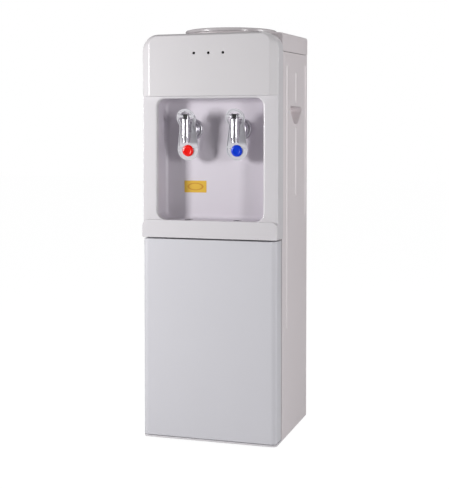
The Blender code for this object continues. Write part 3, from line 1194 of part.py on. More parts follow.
def make_cold_tank(finish):
    """The cold tank under the bottle seat, its foam jacket, baffle and bracket."""
    centre = (0, behind(SEAT_CENTRE_DEPTH), 0)
    outlet = (*cold_outlet_place(), 0)
    floor = COLD_TANK_FLOOR
    shoulder = floor + COLD_TANK_BODY
    neck_foot = shoulder + COLD_TANK_SHOULDER
    neck_inner = GUARD_THROAT + WALL + NECK_PLAY
    inner = COLD_TANK_RADIUS - TANK_WALL
    profile = [(0, floor), (COLD_TANK_RADIUS, floor), (COLD_TANK_RADIUS, shoulder),
               (neck_inner + TANK_WALL, neck_foot),
               (neck_inner + TANK_WALL, neck_foot + COLD_TANK_NECK), (neck_inner, neck_foot + COLD_TANK_NECK),
               (neck_inner, neck_foot - TANK_WALL), (inner, shoulder - TANK_WALL), (inner, floor + TANK_WALL),
               (0, floor + TANK_WALL)]
    tank = turned("cold_tank", profile, "Z", centre, 36)
    for place in (outlet, centre):
        join(tank, rod("spigot", SPIGOT_RADIUS, "Z", place, floor - SPIGOT_DROP, floor + TANK_WALL / 2, 12))
        cut(tank, rod("bore", SPIGOT_BORE, "Z", place, floor - SPIGOT_DROP - OVERRUN,
                      floor + TANK_WALL + OVERRUN, 12))
    dress(tank, finish["inox"])
    inner_foam = COLD_TANK_RADIUS + GAP
    foam_floor = floor - GAP
    profile = [(0, foam_floor - FOAM), (FOAM_RADIUS, foam_floor - FOAM), (FOAM_RADIUS, neck_foot),
               (inner_foam, neck_foot), (inner_foam, foam_floor), (0, foam_floor)]
    foam = turned("cold_tank_foam", profile, "Z", centre, 36)
    for place in (outlet, centre):
        cut(foam, rod("hole", SPIGOT_RADIUS + GAP, "Z", place, foam_floor - FOAM - OVERRUN,
                      foam_floor + OVERRUN, 12))
    half = BLOCK_SIDE / 2 + GAP
    cut(foam, slab("window", (-half, half), (behind(SEAT_CENTRE_DEPTH),
                                             behind(SEAT_CENTRE_DEPTH + FOAM_RADIUS + OVERRUN)),
                   (COOLING_HEIGHT - half, COOLING_HEIGHT + half)))
    dress(foam, finish["foam"])
    baffle_foot = floor + TANK_WALL + GAP
    baffle_level = baffle_foot + BAFFLE_RISE
    profile = [(SPIGOT_BORE, baffle_foot), (BAFFLE_STEM, baffle_foot), (BAFFLE_STEM, baffle_level),
               (inner - BAFFLE_PLAY, baffle_level), (inner - BAFFLE_PLAY, baffle_level + TANK_WALL),
               (SPIGOT_BORE, baffle_level + TANK_WALL)]
    dress(turned("cold_tank_baffle", profile, "Z", centre, 28), finish["silicone"])
    bracket = slab("tank_bracket", (-INSIDE_HALF, INSIDE_HALF), (behind(BRACKET_FRONT), behind(BRACKET_REAR)),
                   (BRACKET_TOP - BRACKET_THICKNESS, BRACKET_TOP))
    for place in (outlet, centre):
        cut(bracket, rod("hole", HOSE_RADIUS + WALL, "Z", place, BRACKET_TOP - BRACKET_THICKNESS - OVERRUN,
                         BRACKET_TOP + OVERRUN))
    dress(bracket, finish["zinc"])


def make_hot_tank(finish):
    """The hot tank on the deck with its heater band and thermostat."""
    centre = (HOT_TANK_X, behind(SEAT_CENTRE_DEPTH), 0)
    foot = DECK_TOP + GAP
    top = foot + HOT_TANK_HEIGHT
    inner = HOT_TANK_RADIUS - TANK_WALL
    tank = rod("hot_tank", HOT_TANK_RADIUS, "Z", centre, foot, top, 36)
    outlet = (HOT_TANK_X, behind(SEAT_CENTRE_DEPTH - HOT_OUTLET_FORWARD), 0)
    feed = (0, behind(SEAT_CENTRE_DEPTH), foot + FEED_RISE)
    edge = HOT_TANK_X + HOT_TANK_RADIUS
    join(tank, rod("spigot", SPIGOT_RADIUS, "Z", outlet, top - TANK_WALL, top + HOT_SPIGOT, 12),
         rod("spigot", SPIGOT_RADIUS, "X", feed, edge - TANK_WALL - TANK_WALL, edge + HOT_SPIGOT, 12))
    cut(tank, rod("hollow", inner, "Z", centre, foot + TANK_WALL, top - TANK_WALL, 36),
        rod("bore", SPIGOT_BORE, "Z", outlet, top - TANK_WALL - OVERRUN, top + HOT_SPIGOT + OVERRUN, 12),
        rod("bore", SPIGOT_BORE, "X", feed, edge - TANK_WALL - OVERRUN, edge + HOT_SPIGOT + OVERRUN, 12))
    dress(tank, finish["inox"])
    band_foot = foot + HEATER_RISE
    band_inner = HOT_TANK_RADIUS + GAP
    profile = [(band_inner, band_foot), (band_inner + HEATER_THICKNESS, band_foot),
               (band_inner + HEATER_THICKNESS, band_foot + HEATER_WIDTH),
               (band_inner, band_foot + HEATER_WIDTH)]
    dress(turned("heater_band", profile, "Z", centre, 36), finish["zinc"])
    face = behind(SEAT_CENTRE_DEPTH - HOT_TANK_RADIUS - GAP)
    thermostat = rod("hot_tank_thermostat", THERMOSTAT_RADIUS, "Y", (HOT_TANK_X, 0, top - THERMOSTAT_DROP),
                     face - THERMOSTAT_LENGTH, face)
    dress(thermostat, finish["dark"])


def make_hoses(finish):
    """Silicone hoses: hot and cold to the taps, and the feed from the cold tank to the hot one."""
    tail = behind(ALCOVE_DEPTH + TAIL_LENGTH)
    bend = HOSE_RADIUS * 2
    outlet_x, outlet_y = cold_outlet_place()
    cold_foot = COLD_TANK_FLOOR - SPIGOT_DROP - GAP
    cold_x = tap_places()["cold"]
    cold = [(outlet_x, outlet_y, cold_foot), (outlet_x, outlet_y, cold_foot - bend),
            ((outlet_x + cold_x) / 2, outlet_y - bend * 2, cold_foot - bend * 2),
            (cold_x, tail + bend * 2, cold_foot - bend / 2),
            (cold_x, tail + bend * 1.4, TAP_NECK_HEIGHT - bend),
            (cold_x, tail + bend / 2, TAP_NECK_HEIGHT), (cold_x, tail, TAP_NECK_HEIGHT)]
    dress(tube("cold_hose", smooth_path(cold), HOSE_RADIUS, 1), finish["silicone"])
    hot_x = tap_places()["hot"]
    hot_top = DECK_TOP + GAP + HOT_TANK_HEIGHT + HOT_SPIGOT + GAP
    hot_y = behind(SEAT_CENTRE_DEPTH - HOT_OUTLET_FORWARD)
    hot = [(HOT_TANK_X, hot_y, hot_top), (HOT_TANK_X, hot_y, hot_top + bend),
           ((HOT_TANK_X + hot_x) / 2, hot_y - bend * 2, hot_top + bend * 2.5),
           (hot_x, tail + bend * 2, cold_foot - bend / 2), (hot_x, tail + bend * 1.4, TAP_NECK_HEIGHT - bend),
           (hot_x, tail + bend / 2, TAP_NECK_HEIGHT), (hot_x, tail, TAP_NECK_HEIGHT)]
    dress(tube("hot_hose", smooth_path(hot), HOSE_RADIUS, 1), finish["silicone"])
    centre_y = behind(SEAT_CENTRE_DEPTH)
    feed_z = DECK_TOP + GAP + FEED_RISE
    start = HOT_TANK_X + HOT_TANK_RADIUS + HOT_SPIGOT + GAP
    climb = cold_foot - feed_z
    feed = [(start, centre_y, feed_z), (start + bend, centre_y, feed_z),
            (start + bend * 2, centre_y + bend / 2, feed_z + bend),
            (start + bend * 2.4, centre_y + bend, feed_z + climb / 3),
            (start + bend * 1.6, centre_y + bend, feed_z + climb * 2 / 3),
            (bend, centre_y + bend / 2, cold_foot - bend * 2),
            (0, centre_y, cold_foot - bend / 2), (0, centre_y, cold_foot)]
    dress(tube("feed_hose", smooth_path(feed), HOSE_RADIUS, 1), finish["silicone"])


# Cooling set
def make_cooling(finish):
    """Cooling block through the foam, finned sink, and fan behind the rear vents."""
    half = BLOCK_SIDE / 2
    block = slab("cooling_block", (-half, half), (behind(BLOCK_FRONT), behind(SINK_FRONT - GAP)),
                 (COOLING_HEIGHT - half, COOLING_HEIGHT + half))
    dress(block, finish["aluminium"])
    side = SINK_SIDE / 2
    base_rear = behind(SINK_FRONT + SINK_BASE)
    tip = base_rear + SINK_FIN
    pitch = (SINK_SIDE - SINK_FIN_WIDTH) / (SINK_FINS - 1)
    outline = [(side, behind(SINK_FRONT)), (-side, behind(SINK_FRONT))]
    for index in range(SINK_FINS):
        start = -side + index * pitch
        outline += [(start, base_rear), (start, tip), (start + SINK_FIN_WIDTH, tip),
                    (start + SINK_FIN_WIDTH, base_rear)]
    outline = outline[:2] + outline[3:-1]
    sink = prism("heat_sink", outline, "Z", COOLING_HEIGHT - side, COOLING_HEIGHT + side)
    dress(sink, finish["aluminium"])
    make_fan(finish, side)


def make_fan(finish, side):
    """The fan's frame with its hub on four struts, and the rotor."""
    front = behind(FAN_FRONT)
    rear = front + FAN_DEPTH
    hub_front = rear - FAN_HUB_WALL
    axis = (0, 0, COOLING_HEIGHT)
    outline = rounded((-side, COOLING_HEIGHT - side), (side, COOLING_HEIGHT + side), FAN_STRUT, FAN_STRUT, 3)
    frame = prism("fan_frame", outline, "Y", front, rear)
    cut(frame, rod("throat", FAN_HOLE, "Y", axis, front - OVERRUN, rear + OVERRUN, 36))
    half = FAN_STRUT / 2
    reach = FAN_HOLE + half
    join(frame, rod("hub", FAN_HUB, "Y", axis, hub_front, rear - GAP, FINE_SEGMENTS),
         slab("strut", (-reach, reach), (hub_front + GAP, rear - GAP - GAP),
              (COOLING_HEIGHT - half, COOLING_HEIGHT + half)),
         slab("strut", (-half, half), (hub_front + GAP, rear - GAP - GAP),
              (COOLING_HEIGHT - reach, COOLING_HEIGHT + reach)))
    dress(frame, finish["dark"])
    spin = axis_empty("fan_axis", (0, front, COOLING_HEIGHT))
    rotor_front = front + SLIP
    rotor_rear = hub_front - GAP
    rotor = rod("fan_rotor", FAN_HUB, "Y", axis, rotor_front, rotor_rear, FINE_SEGMENTS)
    middle = (rotor_front + rotor_rear) / 2
    for index in range(FAN_BLADES):
        chord = FAN_BLADE_CHORD / 2
        blade = slab("blade", (-chord, chord), (-FAN_BLADE_THICKNESS / 2, FAN_BLADE_THICKNESS / 2),
                     (FAN_HUB - FAN_HUB_WALL, FAN_BLADE_TIP))
        turn = Matrix.Rotation(math.tau * index / FAN_BLADES, 4, "Y") @ Matrix.Rotation(FAN_BLADE_PITCH, 4,
                                                                                        "Z")
        blade.data.transform(Matrix.Translation((0, middle, COOLING_HEIGHT)) @ turn)
        join(rotor, blade)
    dress(rotor, finish["dark"], spin)


# Power supply, switches and inlet
def make_supply(finish):
    """The boxed power supply on the deck."""
    width, depth, height = SUPPLY_SIZE
    y = behind(BODY_DEPTH - SUPPLY_INSET)
    outline = rounded((SUPPLY_X - width / 2, y - depth / 2), (SUPPLY_X + width / 2, y + depth / 2), WALL,
                      WALL, 2)
    foot = DECK_TOP + GAP
    dress(prism("power_supply", outline, "Z", foot, foot + height), finish["dark"])


def switch_places():
    """The two rocker switches in the plate."""
    return {"heating_switch": SWITCH_X - SWITCH_SPACING / 2, "cooling_switch": SWITCH_X + SWITCH_SPACING / 2}


def make_switches(finish):
    """A plate with two rocker switches on the rear panel."""
    face = behind(REAR_FACE + GAP)
    rear = face + SWITCH_FLANGE
    plate = prism("switch_plate", switch_plate_outline(0), "Y", face, rear)
    body = prism("body", switch_plate_outline(-SWITCH_PLATE_MARGIN / 2 - GAP), "Y",
                 behind(REAR_FACE - SWITCH_BODY), face + WELD)
    join(plate, body)
    for x in switch_places().values():
        half = SWITCH_WIDTH / 2
        well = slab("well", (x - half, x + half), (rear - ROCKER_DEPTH - ROCKER_ROOM, rear + OVERRUN),
                    (SWITCH_LEVEL - SWITCH_HEIGHT / 2, SWITCH_LEVEL + SWITCH_HEIGHT / 2))
        cut(plate, well)
    dress(plate, finish["dark"])
    for name, x in switch_places().items():
        make_rocker(name, x, rear, finish)


def make_rocker(name, x, rear, finish):
    """One rocker: a shallow V-backed key that tips about a level axis."""
    pivot_y = rear - ROCKER_DEPTH / 2
    hinge = axis_empty(name + "_axis", (x, pivot_y, SWITCH_LEVEL))
    half = SWITCH_HEIGHT / 2 - SLIP
    side = SWITCH_WIDTH / 2 - SLIP
    heel = rear - ROCKER_DEPTH
    outline = [(heel, SWITCH_LEVEL - half / 2), (heel, SWITCH_LEVEL + half / 2),
               (rear - EDGE_BREAK, SWITCH_LEVEL + half),
               (rear, SWITCH_LEVEL + half - EDGE_BREAK), (rear - EDGE_BREAK / 2, SWITCH_LEVEL),
               (rear, SWITCH_LEVEL - half + EDGE_BREAK), (rear - EDGE_BREAK, SWITCH_LEVEL - half)]
    rocker = prism(name, outline, "X", x - side, x + side)
    pivot = Matrix.Translation(hinge.location)
    rocker.data.transform(pivot @ Matrix.Rotation(ROCKER_TILT, 4, "X") @ pivot.inverted())
    dress(rocker, finish["dark"], hinge)


def inlet_outline(grow):
    """The power inlet's outline in the rear panel, as (x, z)."""
    height = INLET_LEVEL
    return rounded((-SWITCH_X - INLET_WIDTH / 2 - grow, height - INLET_HEIGHT / 2 - grow),
                   (-SWITCH_X + INLET_WIDTH / 2 + grow, height + INLET_HEIGHT / 2 + grow),
                   SWITCH_FRAME, SWITCH_FRAME, 3)


def make_inlet(finish):
    """The three-pin power inlet, flanged on the rear panel."""
    face = behind(REAR_FACE + GAP)
    inlet = prism("power_inlet", inlet_outline(SWITCH_PLATE_MARGIN), "Y", face, face + SWITCH_FLANGE)
    join(inlet, prism("body", inlet_outline(0), "Y", behind(REAR_FACE - INLET_DEPTH), face + WELD))
    opening = face + SWITCH_FLANGE + OVERRUN
    floor = face + SWITCH_FLANGE - INLET_CAVITY_DEPTH
    cut(inlet, prism("cavity", inlet_outline(-SWITCH_FRAME), "Y", floor, opening))
    pin_half, pin_height = INLET_PIN[0] / 2, INLET_PIN[1] / 2
    x = -SWITCH_X
    for shift, rise in ((-INLET_WIDTH / 4, 0), (INLET_WIDTH / 4, 0), (0, INLET_HEIGHT / 5)):
        join(inlet, slab("pin", (x + shift - pin_half, x + shift + pin_half), (floor - WALL / 2, face),
                         (INLET_LEVEL + rise - pin_height, INLET_LEVEL + rise + pin_height)))
    dress(inlet, finish["dark"])


def build():
    """Make the whole dispenser."""
    for old in list(bpy.data.objects):
        bpy.data.objects.remove(old)
    finish = make_materials()
    make_base(finish)
    make_side_panel("left_side_panel", -1, finish)
    make_side_panel("right_side_panel", 1, finish)
    make_grip("left_hand_grip", -1, finish)
    make_grip("right_hand_grip", 1, finish)
    make_rear_panel(finish)
    make_fascia(finish)
    make_liner(finish)
    make_lamps(finish)
    make_tray(finish)
    make_cover(finish)
    make_bottle_seat(finish)
    make_cabinet(finish)
    make_door(finish)
    make_taps(finish)
    make_cold_tank(finish)
    make_hot_tank(finish)
    make_hoses(finish)
    make_cooling(finish)
    make_supply(finish)
    make_switches(finish)
    make_inlet(finish)


build()
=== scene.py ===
"""Looks of a free-standing hot and cold water dispenser, dressed on its CAD frame.

Lengths are millimetres, made metres where they enter a mesh or the scene. +Z is up and the front faces -Y.
Depths run backwards from the front plane, heights upwards from the floor.
"""
import json
import math
from dataclasses import dataclass

import bmesh
import bpy
from bmesh import ops
from mathutils import Matrix, Vector

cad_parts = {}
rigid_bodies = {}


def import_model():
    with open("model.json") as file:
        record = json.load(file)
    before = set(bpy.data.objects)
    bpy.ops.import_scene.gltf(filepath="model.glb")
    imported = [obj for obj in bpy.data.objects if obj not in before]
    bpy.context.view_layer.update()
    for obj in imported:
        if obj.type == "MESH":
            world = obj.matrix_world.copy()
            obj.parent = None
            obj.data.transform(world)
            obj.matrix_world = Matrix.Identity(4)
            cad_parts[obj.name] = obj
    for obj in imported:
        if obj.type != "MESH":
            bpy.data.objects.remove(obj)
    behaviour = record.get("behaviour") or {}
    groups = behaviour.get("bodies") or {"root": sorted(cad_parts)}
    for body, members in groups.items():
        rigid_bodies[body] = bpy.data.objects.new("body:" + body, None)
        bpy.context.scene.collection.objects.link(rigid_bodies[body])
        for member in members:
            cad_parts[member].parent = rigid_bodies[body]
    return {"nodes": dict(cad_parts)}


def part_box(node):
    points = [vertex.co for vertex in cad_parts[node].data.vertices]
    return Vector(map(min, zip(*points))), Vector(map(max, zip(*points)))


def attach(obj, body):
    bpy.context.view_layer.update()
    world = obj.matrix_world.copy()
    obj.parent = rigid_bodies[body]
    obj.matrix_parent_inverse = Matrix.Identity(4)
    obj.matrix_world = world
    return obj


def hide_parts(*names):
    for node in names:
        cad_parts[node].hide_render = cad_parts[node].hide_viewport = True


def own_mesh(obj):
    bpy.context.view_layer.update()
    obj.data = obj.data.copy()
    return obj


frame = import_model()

MM = 0.001
GAP = 0.3
HAIR = 0.05          # keeps two faces in one plane apart
WELD = 0.001
SIDE, FRONT, PLAN = range(3)          # an outline's plane, by the axis it faces
TURNS = (Matrix.Rotation(math.radians(90), 4, "Y"), Matrix.Rotation(math.radians(-90), 4, "X"),
         Matrix.Identity(4))
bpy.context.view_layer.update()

GROUPS = {}
PALETTE = {}


def box(node):
    """A CAD node's lowest and highest corner."""
    low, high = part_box(node)
    return low / MM, high / MM


def middle(node):
    """The middle of a CAD node's box."""
    low, high = box(node)
    return (low + high) / 2


FRONT_Y = box("front_fascia")[0].y


def behind(depth):
    """Y of a place that lies this far behind the front plane."""
    return FRONT_Y + depth


def spot(plane, point, level):
    """A point of an outline, put in its plane, in metres."""
    return Vector((*point[:plane], level, *point[plane:])) * MM


def srgb(red, green, blue):
    """A colour as it looks, 0 to 255, made linear for the shaders."""
    shares = [value / 255 for value in (red, green, blue)]
    linear = [share / 12.92 if share <= 0.04045 else ((share + 0.055) / 1.055) ** 2.4 for share in shares]
    return (*linear, 1.0)


# Finishes
class Tree:
    """A node tree in the making."""

    def __init__(self, tree):
        """Take over a tree."""
        self.tree = tree

    def feed(self, socket, value):
        """Link a socket to another one, or give it a value."""
        if isinstance(value, bpy.types.NodeSocket):
            self.tree.links.new(value, socket)
        else:
            socket.default_value = value

    def fill(self, node, **values):
        """Feed a node's inputs by label, with _ for a space."""
        for label, value in values.items():
            self.feed(node.inputs[label.replace("_", " ")], value)

    def add(self, kind, *inputs, **named):
        """A node with its first inputs in order, then attributes, or inputs by label with _ for a space."""
        node = self.tree.nodes.new(kind)
        sockets = {name: value for name, value in named.items() if not hasattr(node, name)}
        for name, value in named.items():
            if name not in sockets:
                setattr(node, name, value)
        for socket, value in zip(node.inputs, inputs):
            self.feed(socket, value)
        self.fill(node, **sockets)
        return node

    def math(self, operation, *inputs, **named):
        """The result of a sum."""
        return self.add("ShaderNodeMath", *inputs, operation=operation, **named).outputs[0]

    def noise(self, place, scale, detail, roughness):
        """The value of a noise."""
        return self.add("ShaderNodeTexNoise", Vector=place, Scale=scale, Detail=detail,
                        Roughness=roughness).outputs["Fac"]

    def group(self, name, **values):
        """The outputs of a shared group, placed here with its own values."""
        return self.add("ShaderNodeGroup", node_tree=GROUPS[name], **values).outputs


def new_group(name, inputs, outputs):
    """An empty node group: its tree, its inputs by label and its end."""
    made = bpy.data.node_groups.new(name, "ShaderNodeTree")
    kinds = {"Vector": "NodeSocketVector", "Colour": "NodeSocketColor"}
    for labels, side in ((inputs, "INPUT"), (outputs, "OUTPUT")):
        for label in labels:
            made.interface.new_socket(label, in_out=side, socket_type=kinds.get(label, "NodeSocketFloat"))
    group = Tree(made)
    return group, group.add("NodeGroupInput").outputs, group.add("NodeGroupOutput")


def make_drift():
    """Slow change of colour and gloss over a moulded or painted surface."""
    inputs = ("Vector", "Colour", "Scale", "Spread", "Gloss", "Gloss Spread")
    group, start, end = new_group("tone_drift", inputs, ("Colour", "Roughness"))
    centred = group.math("SUBTRACT", group.noise(start["Vector"], start["Scale"], 3.0, 0.55), 0.5)
    tone = group.math("MULTIPLY_ADD", centred, start["Spread"], 1.0)
    tinted = group.add("ShaderNodeVectorMath", start["Colour"], operation="SCALE", Scale=tone)
    gloss = group.math("MULTIPLY_ADD", centred, start["Gloss Spread"], start["Gloss"], use_clamp=True)
    group.fill(end, Colour=tinted.outputs[0], Roughness=gloss)
    return group.tree


def make_grain():
    """Fine moulded or sprayed texture, as a height."""
    group, start, end = new_group("fine_grain", ("Vector", "Scale", "Waviness"), ("Height",))
    fine = group.noise(start["Vector"], start["Scale"], 2.0, 0.6)
    wave = group.noise(start["Vector"], 40.0, 1.0, 0.4)
    group.fill(end, Height=group.math("MULTIPLY_ADD", wave, start["Waviness"], fine))
    return group.tree


def make_drawn():
    """Drawn or rolled lines of metal, as a height."""
    group, start, end = new_group("drawn_metal", ("Vector", "Scale"), ("Height",))
    stretch = group.add("ShaderNodeMapping", Vector=start["Vector"], Scale=(1.0, 1.0, 30.0))
    group.fill(end, Height=group.noise(stretch.outputs[0], start["Scale"], 4.0, 0.65))
    return group.tree


def new_material(name):
    """A material with its tree and its shader."""
    material = bpy.data.materials.new(name)
    material.use_nodes = True
    return material, Tree(material.node_tree), material.node_tree.nodes["Principled BSDF"]


def mix_shaders(tree, output, share, first, second):
    """Put a mix of two shaders on a tree's output."""
    mix = tree.add("ShaderNodeMixShader", share, first, second)
    tree.feed(tree.tree.nodes[output].inputs["Surface"], mix.outputs[0])


@dataclass(frozen=True)
class Finish:
    """A finish: its colour, gloss and fine texture."""

    colour: tuple[int, int, int]
    roughness: float
    metallic: float = 0.0
    spread: float = 0.03
    gloss_spread: float = 0.08
    drift_scale: float = 9.0
    grain_scale: float = 1500.0
    grain_height: float = 0.02
    waviness: float = 0.4
    drawn: bool = False
    coat: float = 0.0
    subsurface: float = 0.0
    specular: float = 0.5

    def make(self, name):
        """The finish as a material that reads Object coordinates."""
        material, tree, shader = new_material(name)
        place = tree.add("ShaderNodeTexCoord").outputs["Object"]
        colour = srgb(*self.colour)
        drift = tree.group("drift", Vector=place, Colour=colour, Scale=self.drift_scale, Spread=self.spread,
                           Gloss=self.roughness, Gloss_Spread=self.gloss_spread)
        if self.drawn:
            texture = tree.group("drawn", Vector=place, Scale=self.grain_scale)
        else:
            texture = tree.group("grain", Vector=place, Scale=self.grain_scale, Waviness=self.waviness)
        bump = tree.add("ShaderNodeBump", Strength=1.0, Distance=self.grain_height * MM,
                        Height=texture["Height"])
        tree.fill(shader, Base_Color=drift["Colour"], Roughness=drift["Roughness"],
                  Normal=bump.outputs["Normal"], Metallic=self.metallic, Specular_IOR_Level=self.specular,
                  Coat_Weight=self.coat, Coat_Roughness=0.1, Subsurface_Weight=self.subsurface,
                  Subsurface_Scale=2 * MM)
        material.diffuse_color = colour
        return material


FINISHES = {
    "white_abs": Finish((214, 211, 214), 0.36, spread=0.015, grain_height=0.012, coat=0.15),
    "head_abs": Finish((214, 211, 213), 0.34, spread=0.012, grain_height=0.01, coat=0.2),
    "door_abs": Finish((209, 208, 213), 0.36, spread=0.012, grain_height=0.012, coat=0.15),
    "painted_steel": Finish((219, 212, 214), 0.42, spread=0.02, grain_height=0.03, waviness=0.8),
    "grey_abs": Finish((204, 199, 201), 0.24, spread=0.02, coat=0.4),
    "alcove_abs": Finish((212, 206, 214), 0.33, spread=0.015, grain_height=0.012, coat=0.2),
    "chrome_plate": Finish((208, 206, 212), 0.33, metallic=1.0, gloss_spread=0.04, grain_height=0.003,
                           drift_scale=40.0),
    "lever_abs": Finish((210, 209, 214), 0.22, spread=0.02, coat=0.3),
    "red_cap_abs": Finish((236, 18, 9), 0.24, spread=0.05, drift_scale=60.0),
    "blue_cap_abs": Finish((0, 58, 204), 0.3, spread=0.08, specular=0.35, drift_scale=60.0),
    "black_nylon": Finish((30, 29, 31), 0.42, spread=0.1, grain_height=0.03),
    "black_rubber": Finish((38, 37, 37), 0.78, spread=0.12, grain_height=0.06, grain_scale=900.0),
    "zinc_steel": Finish((182, 186, 190), 0.34, metallic=1.0, spread=0.16, drift_scale=90.0, gloss_spread=0.2,
                         drawn=True, grain_height=0.01),
    "stainless": Finish((196, 196, 196), 0.26, metallic=1.0, spread=0.06, gloss_spread=0.16, drawn=True,
                        grain_height=0.012),
    "drawn_aluminium": Finish((202, 204, 206), 0.36, metallic=1.0, spread=0.05, drawn=True,
                              grain_height=0.015),
    "tank_foam": Finish((232, 226, 206), 0.88, spread=0.1, drift_scale=45.0, grain_scale=380.0,
                        grain_height=0.5),
    "clear_silicone": Finish((214, 216, 210), 0.4, spread=0.04, subsurface=0.3, grain_height=0.01),
    "smoked_lens": Finish((12, 10, 12), 0.25, spread=0.05, specular=0.25),
    "lamp_rim": Finish((226, 224, 226), 0.25, spread=0.02),
    "funnel_abs": Finish((222, 222, 224), 0.3, spread=0.02, grain_height=0.01),
    "blackened_steel": Finish((58, 56, 58), 0.5, metallic=0.6, spread=0.15, drift_scale=80.0),
    "fan_nylon": Finish((24, 24, 26), 0.5, spread=0.1, grain_height=0.04),
}
STICKER_CENTRE, STICKER_HALF = (-51, 576), (26.5, 13.5)


def make_sticker():
    """A plain amber sticker's print: a darker oval ring round its centre, no words."""
    material, tree, shader = new_material("amber_sticker")
    place = tree.add("ShaderNodeTexCoord").outputs["Object"]
    oval = tree.add("ShaderNodeMapping", vector_type="TEXTURE", Vector=place,
                    Location=spot(FRONT, STICKER_CENTRE, behind(ALCOVE_DEPTH)),
                    Scale=(STICKER_HALF[0] * 0.72 * MM, 1.0, STICKER_HALF[1] * 0.62 * MM))
    flat = tree.add("ShaderNodeVectorMath", oval.outputs[0], (1.0, 0.0, 1.0), operation="MULTIPLY")
    reach = tree.add("ShaderNodeVectorMath", flat.outputs[0], operation="LENGTH")
    mix = tree.add("ShaderNodeMix", tree.math("COMPARE", reach.outputs["Value"], 0.9, 0.12), data_type="RGBA")
    ground, mark = (socket for socket in mix.inputs if socket.type == "RGBA")
    tree.feed(ground, srgb(218, 176, 62))
    tree.feed(mark, srgb(197, 139, 42))
    colour = next(socket for socket in mix.outputs if socket.type == "RGBA")
    drift = tree.group("drift", Vector=place, Colour=colour, Scale=60.0, Spread=0.12, Gloss=0.35,
                       Gloss_Spread=0.1)
    tree.fill(shader, Base_Color=drift["Colour"], Roughness=drift["Roughness"])
    return material


def fill_palette():
    """Make the shared groups and every finish."""
    GROUPS.update(drift=make_drift(), grain=make_grain(), drawn=make_drawn())
    for name, finish in FINISHES.items():
        PALETTE[name] = finish.make(name)
    PALETTE["amber_sticker"] = make_sticker()


def place_in_scene(name, data, place=(0, 0, 0), turn=(0, 0, 0)):
    """An object made of some data, placed and turned."""
    made = bpy.data.objects.new(name, data)
    made.location, made.rotation_euler = place, turn
    bpy.context.scene.collection.objects.link(made)
    return made


# Forms
def rectangle(low, high):
    """The corners of a rectangle: foot left, foot right, top right, top left."""
    return [low, (high[0], low[1]), high, (low[0], high[1])]


def span(half, low, high, x=0):
    """The corners of a rectangle centred on an x, between two levels."""
    return rectangle((x - half, low), (x + half, high))


def quarter(steps):
    """Cosine and sine at even steps over a quarter turn."""
    angles = [math.radians(90 * step / steps) for step in range(steps + 1)]
    return [(math.cos(angle), math.sin(angle)) for angle in angles]


def disc_profile(radius, low, high, edge=0.6):
    """A round bar's profile from its axis and back, both rims rounded."""
    back = [(radius - edge + edge * sine, low + edge - edge * cosine) for cosine, sine in quarter(3)]
    front = [(radius - edge + edge * cosine, high - edge + edge * sine) for cosine, sine in quarter(3)]
    return [(0, low), *back, *front, (0, high)]


